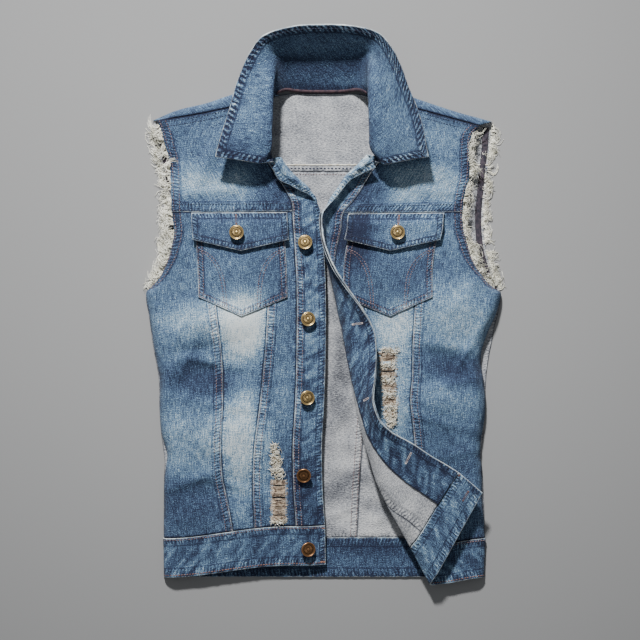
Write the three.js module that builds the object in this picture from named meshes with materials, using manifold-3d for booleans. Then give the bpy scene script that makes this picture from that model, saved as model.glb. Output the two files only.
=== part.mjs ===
// A sleeveless denim vest laid flat on its back, with its fronts uppermost and unbuttoned.
// Millimetres. +X is the wearer's left, +Y runs from the hem to the collar, and +Z is up from the ground.
// Each cut piece of cloth is a closed wall over one laid surface. A front's surface is written in the pattern's
// own measures: u is the distance from the free front edge, and v is the height above the hem.
import * as THREE from "three";
import { mergeVertices } from "three/addons/utils/BufferGeometryUtils.js";
import Module from "manifold-3d";

const wasm = await Module();
wasm.setup();

// Cloth thicknesses and the gaps kept at seams and between layers.
const CLOTH = 1.4;
const BAND_CLOTH = 2.4;
const PLACKET_CLOTH = 2.0;
const COLLAR_CLOTH = 2.4;
const POCKET_CLOTH = 1.2;
const FLAP_CLOTH = 1.8;
const FACING_CLOTH = 1;
const PLACKET_PROUD = 0.4;
const BAND_PROUD = 0.5;
const SEAM_GAP = 0.32;
const LAYER_GAP = 0.8;

// Pattern measures, the same on both fronts.
const HEM_Y = -354;
const BAND_TOP = 52;
const UNDERARM = 372;
const YOKE_SEAM = 477;
const NECK_CORNER = 566;
const PLACKET_WIDTH = 38;
const FACING_WIDTH = 50;
const BACK_YOKE_SEAM = 531;

// How a front's side rolls down to the back, and how its opening edge turns over.
const SIDE_ROLL = 15;
const ARMHOLE_ROLL = 6;
const ROLL_CHANGE = 30;
const TURN_REACH = 7;
const TURN_REACH_PER_ROLL = 0.07;
const TURN_BROW = 6;
const TURN_BULGE = 3;
const TURN_NEAR = 0.35;
const SAG_FROM = 0.85;

const clamp = (x, low = 0, high = 1) => Math.min(Math.max(x, low), high);
const lerp = (a, b, f) => a + (b - a) * f;
const smooth = (f) => clamp(f) ** 2 * (3 - 2 * clamp(f));
const mix = (p, q, f) => p.map((x, i) => lerp(x, q[i], f));

// A curve through points p[i] at keys k[i], with the slope at each taken from its neighbours.
function through(k, p, at) {
  const last = k.length - 1;
  const t = clamp(at, k[0], k[last]);
  let i = 0;
  while (i < last - 1 && t > k[i + 1]) i += 1;
  const h = k[i + 1] - k[i];
  const f = (t - k[i]) / h;
  const slope = (n, c) => {
    const before = Math.max(n - 1, 0);
    const after = Math.min(n + 1, last);
    return (p[after][c] - p[before][c]) / (k[after] - k[before]);
  };
  return p[i].map(
    (a, c) =>
      a * (1 + 2 * f) * (1 - f) ** 2 +
      p[i + 1][c] * f * f * (3 - 2 * f) +
      h * f * (1 - f) * (slope(i, c) * (1 - f) - slope(i + 1, c) * f),
  );
}

// A table with named columns, read smoothly at any value of its first column.
function table(columns, rows) {
  const keys = rows.map((row) => row[0]);
  const values = rows.map((row) => row.slice(1));
  return (key) => {
    const read = through(keys, values, key);
    return Object.fromEntries(columns.slice(1).map((name, c) => [name, read[c]]));
  };
}

// Height of the fronts' outer face over the surface that the vest lies on, before its folds.
const loft = table(
  ["v", "high"],
  [
    [0, 11],
    [BAND_TOP, 13],
    [120, 16],
    [240, 18],
    [360, 17],
    [YOKE_SEAM, 15],
    [560, 15],
    [630, 16],
  ],
);

// Height of a front's outer edge: along the side seam it stands on the back, and along the armhole it is free.
const footing = table(
  ["v", "high"],
  [
    [0, 3.4],
    [46, 3.4],
    [52, 3.2],
    [62, 2.2],
    [200, 2.1],
    [340, 2.1],
    [368, 2.4],
    [384, 4.5],
    [400, 8],
    [425, 11],
    [YOKE_SEAM, 12],
    [600, 12.5],
  ],
);

// The largest folds and swells: middle, turn from +X in degrees, half length, half width and height.
const FOLDS = [
  { x: -140, y: -22, turn: 4, long: 62, wide: 26, high: 7 },
  { x: -150, y: -86, turn: 6, long: 55, wide: 18, high: -4 },
  { x: -125, y: -165, turn: -4, long: 60, wide: 34, high: 6 },
  { x: -200, y: -90, turn: 65, long: 24, wide: 6, high: 3 },
  { x: -120, y: -240, turn: 8, long: 70, wide: 20, high: -3 },
  { x: -146, y: 196, turn: 62, long: 48, wide: 11, high: 3.5 },
  { x: -190, y: 200, turn: 75, long: 40, wide: 9, high: -2 },
  { x: -64, y: 196, turn: 80, long: 30, wide: 20, high: 5 },
  { x: 64, y: 196, turn: -80, long: 30, wide: 20, high: 5 },
  { x: 152, y: 190, turn: -60, long: 45, wide: 13, high: 3 },
  { x: 170, y: 0, turn: -8, long: 45, wide: 38, high: 7 },
  { x: 166, y: -72, turn: -10, long: 32, wide: 17, high: -4 },
  { x: 162, y: -122, turn: 4, long: 45, wide: 22, high: 5 },
  { x: 192, y: -86, turn: -68, long: 34, wide: 7, high: 3 },
  { x: 196, y: -160, turn: -60, long: 20, wide: 6, high: 2.5 },
  { x: 170, y: -200, turn: 0, long: 40, wide: 30, high: -3 },
];

function swell(folds, x, y) {
  return folds.reduce((sum, fold) => {
    const turn = (fold.turn * Math.PI) / 180;
    const dx = x - fold.x;
    const dy = y - fold.y;
    const along = (dx * Math.cos(turn) + dy * Math.sin(turn)) / fold.long;
    const across = (dy * Math.cos(turn) - dx * Math.sin(turn)) / fold.wide;
    return sum + fold.high * Math.exp(-along * along - across * across);
  }, 0);
}

const frontHeight = (x, y) => loft(y - HEM_Y).high + swell(FOLDS, x, y);

// The wearer's right front lies at -X, so its u runs towards -X. Its opening edge hangs straight, and turns
// over in a small lapel beside the neck. crest is where a row turns over, and free is where its edge rests.
const OPENING = [
  "v",
  "roll",
  "turn",
  "crestX",
  "crestY",
  "crestZ",
  "freeX",
  "freeY",
  "freeZ",
];
const rightFront = {
  name: "right",
  dir: -1,
  columns: { placket: 4, centre: 4, middle: 3, side: [0, 0.2, 0.4, 0.58, 0.72, 0.84, 0.93, 1] },
  courses: [
    26, 52, 82, 112, 142, 172, 202, 232, 262, 292, 322, 350, 372, 386, 402, 420, 444, 477, 500, 522, 544,
  ],
  shoulderSag: 3,
  side: table(
    ["v", "x"],
    [
      [0, -208],
      [52, -209],
      [100, -208.5],
      [130, -208],
      [148, -205.5],
      [160, -204.5],
      [172, -207],
      [190, -212],
      [220, -214],
      [260, -214.5],
      [300, -221.5],
      [340, -227.5],
      [UNDERARM, -232],
      [380, -224],
      [391, -214],
      [401, -208.5],
      [417, -202],
      [431, -198],
      [451, -194.5],
      [473, -197],
      [492, -198],
      [525, -199.5],
      [551, -202],
      [564, -206],
      [583, -211],
      [596, -216.5],
    ],
  ),
  opening: table(OPENING, [
    [0, 20, 0, -17, -338, -1, 3, -337, -3],
    [52, 20, 0, -18, -286, -1, 2, -285, -3],
    [100, 20, 0, -21, -239, -1, -1, -239, -4],
    [160, 20, 0, -22, -182, -1, -2, -182, -4],
    [220, 20, 0, -19, -125, -1, 1, -125, -4],
    [300, 20, 0, -17, -54, -1, 3, -54, -4],
    [380, 20, 0, -17, 26, -1, 3, 26, -3],
    [440, 20, 0, -20, 86, 0, 0, 86, -1],
    [470, 16, 0, -18, 116, 0, -2, 116, 0],
    [486, 6, 0.3, -9, 134, 3, -7, 132, 2],
    [502, 6, 0.5, -16, 149, 4, -18, 145, 4],
    [517, 9, 0.8, -25, 159, 5, -31, 151, 6],
    [532, 13, 1, -36, 168, 6, -44, 158, 8],
    [546, 17, 1, -46, 179, 7, -57, 164, 9],
    [NECK_CORNER, 18, 1, -56, 193, 7, -66, 179, 10],
  ]),
  neckline: [
    [-80, 205],
    [-79, 229],
    [-75, 255],
    [-72, 272],
  ],
  shoulder: 596,
};

// The wearer's left front lies at +X. Its opening edge stands up at the chest, then falls over outwards,
// and its lower corner is folded right back, so that the facing and the back of the waistband show.
const leftFront = {
  name: "left",
  dir: 1,
  columns: { placket: 5, centre: 3, middle: 4, side: [0, 0.1, 0.2, 0.32, 0.46, 0.6, 0.74, 0.86, 0.94, 1] },
  courses: [
    18, 35, 52, 66, 82, 100, 120, 142, 164, 186, 208, 230, 252, 274, 296, 318, 340, 358, 372, 386, 406,
    430, 453, 477, 500, 522, 544,
  ],
  shoulderSag: 0,
  side: table(
    ["v", "x"],
    [
      [0, 209.5],
      [52, 211],
      [100, 208],
      [140, 207],
      [160, 205],
      [177, 205.5],
      [195, 208.5],
      [212, 211],
      [234, 211.5],
      [250, 210],
      [265, 208],
      [280, 206],
      [295, 206.5],
      [310, 211],
      [325, 217],
      [340, 224],
      [355, 229],
      [UNDERARM, 232],
      [376, 226],
      [383, 216],
      [393, 207.5],
      [404, 200],
      [417, 193],
      [434, 188],
      [454, 182.5],
      [473, 181.5],
      [486, 181.5],
      [506, 185],
      [519, 189],
      [538, 190.5],
      [558, 190.5],
      [577, 193],
      [589, 203.5],
    ],
  ),
  opening: table(OPENING, [
    [0, 138, 1, 140, -362, 5, 206, -241, 20],
    [52, 116, 1, 114, -313, 5, 174, -214, 20],
    [70, 107, 1, 102, -291, 6, 157, -203, 20],
    [90, 96, 1, 89, -268, 6, 141, -194, 20],
    [120, 83, 1, 73, -237, 6, 114, -176, 21],
    [152, 73, 1, 62, -203, 6, 89, -162, 25],
    [182, 66, 1, 53, -173, 6, 75, -148, 29],
    [208, 63, 1, 47, -147, 6, 68, -132, 31],
    [234, 60, 1, 41, -121, 6, 65, -116, 31],
    [265, 54, 1, 36, -89, 6, 68, -89, 27],
    [298, 51, 1, 31, -56, 6, 69, -56, 22],
    [324, 49, 1, 27, -30, 6, 65, -29, 21],
    [350, 45, 1, 21, -4, 6, 51, -3, 26],
    [376, 40, 0.9, 16, 22, 6, 34, 21, 30],
    [402, 34, 0.7, 10, 48, 6, 17, 46, 32],
    [428, 25, 0.3, 4, 74, 6, 4.5, 73, 29],
    [454, 17, 0, 2, 100, 6, -1.5, 99, 24],
    [477, 15, 0, 3, 122, 6, -1, 121, 20],
    [492, 8, 0.3, 9, 138, 8, 8, 132, 12],
    [512, 7, 0.5, 18, 152, 7, 21, 147, 9],
    [534, 9, 0.8, 30, 170, 7, 34, 163, 9],
    [548, 13, 1, 42, 181, 7, 48, 171, 9],
    [NECK_CORNER, 19, 1, 57, 196, 7, 68, 180, 10],
  ]),
  neckline: [
    [75, 205],
    [72, 229],
    [70, 255],
    [67, 272],
  ],
  shoulder: 589,
};

const rollReach = (v) => lerp(SIDE_ROLL, ARMHOLE_ROLL, smooth((v - UNDERARM) / ROLL_CHANGE));

// Height of a front's outer face where its side rolls down, at `inset` from its outline.
function rolledHeight(x, y, v, inset) {
  const rise = Math.sqrt(1 - (1 - clamp(inset / rollReach(v))) ** 2);
  return lerp(footing(v).high, frontHeight(x, y), rise);
}

// A front's outer face where it lies open, in the pattern's measures. Past the edge of the roll, u follows
// the cloth down the side, and span is the u of the side seam.
function flatRow(front, v) {
  const opening = front.opening(v);
  const sideX = front.side(v).x;
  const edgeX = opening.crestX - front.dir * opening.roll;
  const reach = rollReach(v);
  const wide = Math.abs(sideX - edgeX);
  const drop = frontHeight(sideX - front.dir * reach, v + HEM_Y) - footing(v).high;
  const arc = (Math.PI / 2) * Math.sqrt((reach * reach + drop * drop) / 2);
  return { opening, sideX, reach, wide, arc, span: wide - reach + arc };
}

function flatPoint(front, row, u, v) {
  const turned = row.wide - row.reach;
  const angle = clamp((row.span - u) / row.arc) * (Math.PI / 2);
  const inset = u < turned ? row.wide - u : row.reach * (1 - Math.cos(angle));
  const x = row.sideX - front.dir * inset;
  const lift = row.opening.crestY - (v + HEM_Y);
  const y = v + HEM_Y + lift * smooth((row.wide - u) / (row.wide - row.opening.roll) / SAG_FROM);
  return [x, y, rolledHeight(x, y, v, inset)];
}

// A front's outer face anywhere: the lying part, then the crest where it turns over, then the turned part.
function lay(front, u, v) {
  const row = flatRow(front, v);
  const { roll, turn, crestX, crestY, crestZ, freeX, freeY, freeZ } = row.opening;
  const reach = TURN_REACH + TURN_REACH_PER_ROLL * roll;
  if (u >= roll + reach) return flatPoint(front, row, u, v);
  const near = Math.min(reach, TURN_NEAR * roll);
  const ground = frontHeight(crestX, crestY);
  const crest = [crestX, crestY, ground + crestZ];
  const free = [freeX, freeY, ground + freeZ];
  const brow = mix(crest, free, near / roll);
  brow[2] += TURN_BROW * turn;
  const middle = mix(crest, free, 0.5);
  middle[2] += TURN_BULGE * turn;
  return through(
    [0, roll / 2, roll - near, roll, roll + reach, roll + 2 * reach],
    [
      free,
      middle,
      brow,
      crest,
      flatPoint(front, row, roll + reach, v),
      flatPoint(front, row, roll + 2 * reach, v),
    ],
    u,
  );
}

const sideSeam = (front, v) => flatRow(front, v).span;

// Closed mesh between two grids of points, whose first grid faces out. `flip` turns the winding round.
function closedGrid(outer, inner, flip) {
  const corners = [];
  const quad = (a, b, c, d) => (flip ? corners.push(a, c, b, a, d, c) : corners.push(a, b, c, a, c, d));
  const rows = outer.length - 1;
  const columns = outer[0].length - 1;
  for (let j = 0; j < rows; j += 1) {
    for (let i = 0; i < columns; i += 1) {
      quad(outer[j][i], outer[j][i + 1], outer[j + 1][i + 1], outer[j + 1][i]);
      quad(inner[j][i], inner[j + 1][i], inner[j + 1][i + 1], inner[j][i + 1]);
    }
    quad(outer[j][0], outer[j + 1][0], inner[j + 1][0], inner[j][0]);
    quad(outer[j][columns], inner[j][columns], inner[j + 1][columns], outer[j + 1][columns]);
  }
  for (let i = 0; i < columns; i += 1) {
    quad(outer[0][i], inner[0][i], inner[0][i + 1], outer[0][i + 1]);
    quad(outer[rows][i], outer[rows][i + 1], inner[rows][i + 1], inner[rows][i]);
  }
  const geometry = new THREE.BufferGeometry();
  geometry.setAttribute("position", new THREE.Float32BufferAttribute(corners.flat(), 3));
  return geometry;
}

// A cloth wall over point(s, t), with a column at each s of `across` and a row at each t of `along`. Its face
// is on the side of `facing` times ds x dt. It lies `out` in front of the surface, with `depth` of cloth behind.
function clothWall({ point, across, along, facing = 1, out = () => 0, depth }) {
  const within = (levels, level, step) => clamp(level + step, levels[0], levels[levels.length - 1]);
  const sStep = 1e-3 * (across[across.length - 1] - across[0]);
  const tStep = 1e-3 * (along[along.length - 1] - along[0]);
  const at = (s, t) => new THREE.Vector3(...point(s, t));
  const outer = [];
  const inner = [];
  for (const t of along) {
    const outerRow = [];
    const innerRow = [];
    for (const s of across) {
      const ds = at(within(across, s, sStep), t).sub(at(within(across, s, -sStep), t));
      const dt = at(s, within(along, t, tStep)).sub(at(s, within(along, t, -tStep)));
      const normal = ds.cross(dt).normalize().multiplyScalar(facing);
      outerRow.push(at(s, t).addScaledVector(normal, out(s, t)).toArray());
      innerRow.push(at(s, t).addScaledVector(normal, out(s, t) - depth).toArray());
    }
    outer.push(outerRow);
    inner.push(innerRow);
  }
  return closedGrid(outer, inner, facing < 0);
}

const steps = (from, to, count) =>
  Array.from({ length: count + 1 }, (_, i) => lerp(from, to, i / count));

// Heights above the hem at which a piece has a row. All pieces of a front share them, so neighbours meet.
const CLOSEST_ROWS = 3;
const courses = (front, from, to) => [
  from,
  ...front.courses.filter((v) => v > from + CLOSEST_ROWS && v < to - CLOSEST_ROWS),
  to,
];

// The two shaped seams that run down each front from the pocket to the waistband, as distances from the edge.
const innerSeam = table(
  ["v", "u"],
  [
    [BAND_TOP, 92],
    [130, 90],
    [234, 83],
    [355, 76],
    [YOKE_SEAM, 72],
  ],
);
const outerSeam = table(
  ["v", "u"],
  [
    [BAND_TOP, 120],
    [90, 124],
    [130, 130],
    [234, 132],
    [300, 136],
    [355, 143],
    [YOKE_SEAM, 153],
  ],
);

const HALF_GAP = SEAM_GAP / 2;
const bodyCourses = (front) => courses(front, BAND_TOP + HALF_GAP, YOKE_SEAM - HALF_GAP);

// Columns of each part of a front, as distances from its edge at height v. The right front needs fewer.
const columnsOf = {
  placket: (front) => steps(0, PLACKET_WIDTH, front.columns.placket),
  centre: (front, v) => {
    const from = front.name === "left" ? FACING_WIDTH : PLACKET_WIDTH;
    const near = front.name === "left" ? [PLACKET_WIDTH, (PLACKET_WIDTH + FACING_WIDTH) / 2] : [];
    return [...near, ...steps(from, innerSeam(v).u, front.columns.centre)];
  },
  middle: (front, v) => steps(innerSeam(v).u, outerSeam(v).u, front.columns.middle),
  side: (front, v) => {
    const from = outerSeam(v).u;
    const to = sideSeam(front, v);
    return front.columns.side.map((f) => lerp(from, to, f));
  },
};

// Moves the first and last column in by half a seam's gap.
function parted(columns, first = HALF_GAP, last = HALF_GAP) {
  const end = columns.length - 1;
  return columns.map((u, i) => u + (i === 0 ? first : 0) - (i === end ? last : 0));
}

// A value read between the members of a list, at a place counted in members.
function between(list, place) {
  const i = Math.min(Math.floor(place), list.length - 2);
  return lerp(list[i], list[i + 1], place - i);
}

// A piece of a front whose columns, at any height, are uAt(v).
function frontPiece(front, { uAt, along, out, depth }) {
  return clothWall({
    across: uAt(along[0]).map((_, i) => i),
    along,
    out,
    depth,
    facing: front.dir,
    point: (place, v) => lay(front, between(uAt(v), place), v),
  });
}

const centrePanel = (front) =>
  frontPiece(front, {
    uAt: (v) => parted(columnsOf.centre(front, v)),
    along: bodyCourses(front),
    depth: CLOTH,
  });

const middlePanel = (front) =>
  frontPiece(front, {
    uAt: (v) => parted(columnsOf.middle(front, v)),
    along: bodyCourses(front),
    depth: CLOTH,
  });

const sidePanel = (front) =>
  frontPiece(front, {
    uAt: (v) => parted(columnsOf.side(front, v), HALF_GAP, 0),
    along: bodyCourses(front),
    depth: CLOTH,
  });

const placket = (front) =>
  frontPiece(front, {
    uAt: () => parted(columnsOf.placket(front), 0),
    along: courses(front, BAND_TOP + HALF_GAP, NECK_CORNER),
    out: () => PLACKET_PROUD,
    depth: PLACKET_CLOTH,
  });

// The strip sewn to the back of the left placket, which shows where that edge turns over.
const facing = (front) =>
  frontPiece(front, {
    uAt: (v) => [...columnsOf.placket(front), ...columnsOf.centre(front, v).slice(1, 3)],
    along: bodyCourses(front),
    out: () => PLACKET_PROUD - PLACKET_CLOTH - LAYER_GAP,
    depth: FACING_CLOTH,
  });

const waistband = (front) =>
  frontPiece(front, {
    uAt: (v) => [
      ...columnsOf.placket(front),
      ...columnsOf.centre(front, BAND_TOP).slice(1),
      ...columnsOf.middle(front, BAND_TOP).slice(1),
      ...columnsOf.side(front, BAND_TOP)
        .slice(1)
        .map((u) => (u * sideSeam(front, v)) / sideSeam(front, BAND_TOP)),
    ],
    along: courses(front, 0, BAND_TOP - 2 * SEAM_GAP),
    out: () => BAND_PROUD,
    depth: BAND_CLOTH,
  });

// The shoulder seam on a front, from the neck to the armhole.
function shoulderSeam(front, f) {
  const neck = front.neckline[front.neckline.length - 1];
  const armhole = [front.side(front.shoulder).x, front.shoulder + HEM_Y];
  const [x, y] = mix(neck, armhole, f);
  return [x, y - front.shoulderSag * Math.sin(Math.PI * f)];
}

const frontFace = (front, x, y) => rolledHeight(x, y, y - HEM_Y, Math.abs(x - front.side(y - HEM_Y).x));

// The front yoke is a patch between four edges: the yoke seam, the shoulder seam, the armhole, and the placket
// and neckline. Its face keeps to the front's height, and takes its difference from that height from its edges.
// The rows up to the neck corner are the placket's, and NECK_ROWS more follow the neckline.
const NECK_ROWS = [20, 40, 60];

function frontYoke(front) {
  const low = YOKE_SEAM + HALF_GAP;
  const top = NECK_CORNER + NECK_ROWS[NECK_ROWS.length - 1];
  const parts = [columnsOf.centre, columnsOf.middle, columnsOf.side];
  const seam = parts.map((columns) => columns(front, low));
  const us = parted([...seam[0], ...seam[1].slice(1), ...seam[2].slice(1)], HALF_GAP, 0);
  const placketEdge = (v) => lay(front, PLACKET_WIDTH + HALF_GAP, v);
  const neck = [placketEdge(NECK_CORNER).slice(0, 2), ...front.neckline];
  const neckKeys = neck.map((_, i) => i / (neck.length - 1));
  const onFace = ([x, y]) => [x, y, frontFace(front, x, y)];
  const differ = ([x, y, z]) => [x, y, z - frontFace(front, x, y)];
  const inner = (v) =>
    differ(
      v <= NECK_CORNER
        ? placketEdge(v)
        : onFace(through(neckKeys, neck, (v - NECK_CORNER) / (top - NECK_CORNER))),
    );
  const outer = (f) => {
    const v = lerp(low, front.shoulder, f);
    return differ([front.side(v).x, v + HEM_Y, footing(v).high]);
  };
  const bottom = (place) => differ(lay(front, between(us, place), low));
  const upper = (f) => differ(onFace(shoulderSeam(front, f)));
  return clothWall({
    across: us.map((_, i) => i),
    along: [...courses(front, low, NECK_CORNER), ...NECK_ROWS.map((rise) => NECK_CORNER + rise)],
    depth: CLOTH,
    facing: front.dir,
    point: (place, v) => {
      const f = (between(us, place) - us[0]) / (us[us.length - 1] - us[0]);
      const up = (v - low) / (top - low);
      const sides = mix(inner(v), outer(up), f);
      const ends = mix(bottom(place), upper(f), up);
      const corners = mix(mix(inner(low), outer(0), f), mix(inner(top), outer(1), f), up);
      const [x, y, above] = sides.map((a, i) => a + ends[i] - corners[i]);
      return [x, y, frontFace(front, x, y) + above];
    },
  });
}

// Patch pocket with a pointed foot, and its flap with a pointed edge.
const POCKET = {
  inner: 50,
  outer: 166,
  top: 456,
  corner: 366,
  tip: 341,
  tipAt: 110,
  swell: 3,
  swellTo: 0.8,
};
const FLAP = {
  inner: 45,
  outer: 170,
  top: 476,
  cornerInner: 440,
  cornerOuter: 441,
  tip: 426,
  tipAt: 108,
  stand: 4.4,
  standBy: 0.35,
  swell: 1.2,
};

// v of an edge that dips from its two corners to a tip.
function pointedEdge(u, inner, outer, tipAt, cornerInner, cornerOuter, tip) {
  return u < tipAt
    ? lerp(cornerInner, tip, (u - inner) / (tipAt - inner))
    : lerp(cornerOuter, tip, (outer - u) / (outer - tipAt));
}

function pocket(front) {
  const { inner, outer, top, corner, tip, tipAt } = POCKET;
  const uAt = (s) => (s < 0.5 ? lerp(inner, tipAt, 2 * s) : lerp(tipAt, outer, 2 * s - 1));
  return clothWall({
    across: steps(0, 1, 8),
    along: steps(0, 1, 6),
    facing: front.dir,
    depth: POCKET_CLOTH,
    out: (s, t) => {
      const swelling = Math.sin(Math.PI * s) * Math.sin(Math.PI * Math.min(t, POCKET.swellTo));
      return LAYER_GAP + POCKET_CLOTH + POCKET.swell * swelling;
    },
    point: (s, t) => {
      const low = pointedEdge(uAt(s), inner, outer, tipAt, corner, corner, tip);
      return lay(front, uAt(s), lerp(low, top, t));
    },
  });
}

function pocketFlap(front) {
  const { inner, outer, top, cornerInner, cornerOuter, tip, tipAt, stand, standBy, swell } = FLAP;
  const uAt = (s) => (s < 0.5 ? lerp(inner, tipAt, 2 * s) : lerp(tipAt, outer, 2 * s - 1));
  return clothWall({
    across: steps(0, 1, 8),
    along: steps(0, 1, 5),
    facing: front.dir,
    depth: FLAP_CLOTH,
    out: (s, t) => {
      const standing = stand * smooth((1 - t) / standBy);
      return LAYER_GAP + FLAP_CLOTH + standing + swell * Math.sin(Math.PI * s) * (1 - t);
    },
    point: (s, t) => {
      const low = pointedEdge(uAt(s), inner, outer, tipAt, cornerInner, cornerOuter, tip);
      return lay(front, uAt(s), lerp(low, top, t));
    },
  });
}

// The back, lying on the surface: its outline on each side, and the two seams beside its middle panel.
const backSide = {
  right: table(
    ["v", "x"],
    [
      [0, -209],
      [52, -209.5],
      [130, -209],
      [150, -208],
      [168, -210],
      [190, -213],
      [220, -215],
      [260, -216],
      [300, -223],
      [340, -228.5],
      [UNDERARM, -232.5],
      [384, -224],
      [400, -215],
      [425, -209],
      [451, -205],
      [477, -205],
      [503, -207],
      [531, -211],
      [555, -216],
      [590, -222],
    ],
  ),
  left: table(
    ["v", "x"],
    [
      [0, 210],
      [52, 211.5],
      [130, 209],
      [160, 207],
      [190, 210],
      [220, 212],
      [260, 213],
      [290, 217],
      [310, 221],
      [330, 225],
      [345, 229],
      [UNDERARM, 232.5],
      [384, 227],
      [400, 221.5],
      [425, 214],
      [451, 210.5],
      [477, 210],
      [503, 212.5],
      [531, 215],
      [555, 218],
      [590, 220.5],
    ],
  ),
};
const backSeam = table(
  ["v", "x"],
  [
    [BAND_TOP, 44],
    [130, 48],
    [250, 58],
    [400, 80],
    [BACK_YOKE_SEAM, 98],
  ],
);

// A piece of the back between two edges, with its outer face down on the surface.
function backPiece({ xFrom, xTo, columns, along, depth = CLOTH }) {
  return clothWall({
    across: steps(0, 1, columns),
    along,
    depth,
    facing: -1,
    point: (s, v) => [lerp(xFrom(v), xTo(v), s), v + HEM_Y, 0],
  });
}

const BACK_COURSES = [100, 130, 145, 160, 175, 190, 230, 270, 310, 340, 360, 372, 386, 406, 440, 480];
const backBody = (xFrom, xTo, columns) =>
  backPiece({
    xFrom: (v) => xFrom(v) + HALF_GAP,
    xTo: (v) => xTo(v) - HALF_GAP,
    columns,
    along: [BAND_TOP + HALF_GAP, ...BACK_COURSES, BACK_YOKE_SEAM - HALF_GAP],
  });

// The back yoke: from its seam to the shoulders, where it rolls over and forward to the front yokes. Between
// the shoulders it ends at the neck seam. low is on the yoke seam, rim on its far edge, and the roll reaches
// `over` past the rim. A section's points are on the ground, at the foot of the roll, on its outside, over its
// top, and at the rim; where there is no roll they run flat to the neck seam.
const yokeColumn = table(
  ["s", "lowX", "topX", "rimX", "over"],
  [
    [0, -211, -223, -216.5, 2],
    [1, -165, -186, -185, 10],
    [2, -125, -154, -153, 12],
    [3, -92, -118, -117, 16],
    [4, -72, -85, -80, 14],
    [5, -60, -64, -63, 4],
    [6, -38, -42, -42, 0],
    [7, -1, -1, -1, 0],
    [8, 36, 40, 40, 0],
    [9, 56, 60, 59, 4],
    [10, 70, 79, 75, 14],
    [11, 95, 111, 111, 14],
    [12, 130, 150, 149, 11],
    [13, 170, 184, 181, 9],
    [14, 215, 220.5, 203.5, 6],
  ],
);
const YOKE_SECTIONS = 14;
const NECK_Y = 279.5;
const NECK_RISE = 1.2;
const SHOULDER_GAP = 1;
const SHOULDER_FROM = 0.55;
const FULL_ROLL = 8;

// The back yoke's far edge at x: along the shoulder seams, and between them round the back of the neck.
function yokeRim(x) {
  const front = x < 0 ? rightFront : leftFront;
  const [neckX, neckY] = shoulderSeam(front, 0);
  const [armX] = shoulderSeam(front, 1);
  const [seamX, seamY] = shoulderSeam(front, clamp((x - neckX) / (armX - neckX)));
  const onSeam = smooth((Math.abs(x / neckX) - SHOULDER_FROM) / (1 - SHOULDER_FROM));
  const y = Math.abs(x) > Math.abs(neckX) ? seamY : neckY;
  const high = frontFace(front, seamX, seamY);
  return [x, lerp(NECK_Y, y + SHOULDER_GAP, onSeam), lerp(NECK_RISE, high, onSeam)];
}

function backYoke() {
  const low = BACK_YOKE_SEAM + HALF_GAP + HEM_Y;
  const section = (s) => {
    const { lowX, topX, rimX, over } = yokeColumn(s);
    const [, rimY, high] = yokeRim(rimX);
    const rolled = clamp(over / FULL_ROLL);
    const topY = rimY + over;
    const overTop = lerp(topY, rimY, 0.35) - lerp(1, 0, rolled);
    return [
      [lowX, low, 0],
      [lerp(lowX, topX, 0.85), lerp(low, topY, 0.85), 0],
      [lerp(lowX, topX, 0.93), topY - lerp(4, 7, rolled), 0],
      [topX, topY - lerp(2, 0, rolled), lerp(0.3, high * 0.5, rolled)],
      [lerp(topX, rimX, 0.35), overTop, lerp(0.8, high * 0.95, rolled)],
      [rimX, rimY, high],
    ];
  };
  return clothWall({
    across: steps(0, YOKE_SECTIONS, 2 * YOKE_SECTIONS),
    along: [0, 0.3, 0.55, 0.66, 0.73, 0.78, 0.83, 0.88, 0.94, 1],
    depth: CLOTH,
    facing: -1,
    point: (s, t) => {
      const [x, y, z] = through([0, 0.55, 0.7, 0.8, 0.9, 1], section(s), t);
      return [x, y, Math.max(z, 0)];
    },
  });
}

// The collar, one section to a row from the right front's neck corner round the back to the left front's.
// neck is on the neck seam, roll is where it turns over or starts to rise, and edge is its outer edge.
const collarSection = table(
  ["s", "neckX", "neckY", "neckZ", "rollX", "rollY", "rollZ", "edgeX", "edgeY", "edgeZ"],
  [
    [0, -65, 186, 31, -84, 185, 36, -140, 193, 37],
    [1, -71, 203, 23, -71, 203, 39, -136, 209, 38],
    [2, -77.5, 222, 15, -69, 227, 41, -129, 232, 36],
    [3, -75.5, 246, 14.5, -68, 252, 41, -121, 257, 35],
    [4, -71.5, 270, 16.8, -67, 278, 40, -114, 283, 36],
    [5, -61, 277.5, 13.5, -66, 298, 37, -106, 305, 39],
    [6, -51, 281.5, 7, -64, 318, 30, -94, 330, 45],
    [7, -39, 281.5, 2, -55, 326, 24, -76, 350, 50],
    [8, -22, 279.8, 1.6, -27, 324, 20, -38, 361, 52],
    [9, -1, 279.6, 1.6, -1, 323, 19, -1, 363, 53],
    [10, 20, 279.8, 1.6, 25, 324, 20, 36, 361.5, 52],
    [11, 36, 281.5, 2, 52, 327, 24, 70, 353, 50],
    [12, 47, 281.5, 7.5, 60, 318, 30, 89, 333, 46],
    [13, 57, 277.5, 13.8, 60, 298, 37, 101, 309, 40],
    [14, 66.5, 270, 16.8, 60, 276, 40, 110, 284, 37],
    [15, 69.5, 246, 14.5, 61, 252, 41, 121, 257, 35],
    [16, 71.5, 222, 15, 62, 226, 41, 129, 230, 36],
    [17, 69, 203, 23, 64, 204, 39, 133, 207, 38],
    [18, 67, 186, 31, 82, 184, 36, 136, 193, 37],
  ],
);
const COLLAR_SECTIONS = 18;
const COLLAR_RISE_AT = 0.6;
const COLLAR_LEAF_AT = 0.3;
const COLLAR_LEAF_SWELL = 1.5;

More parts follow.
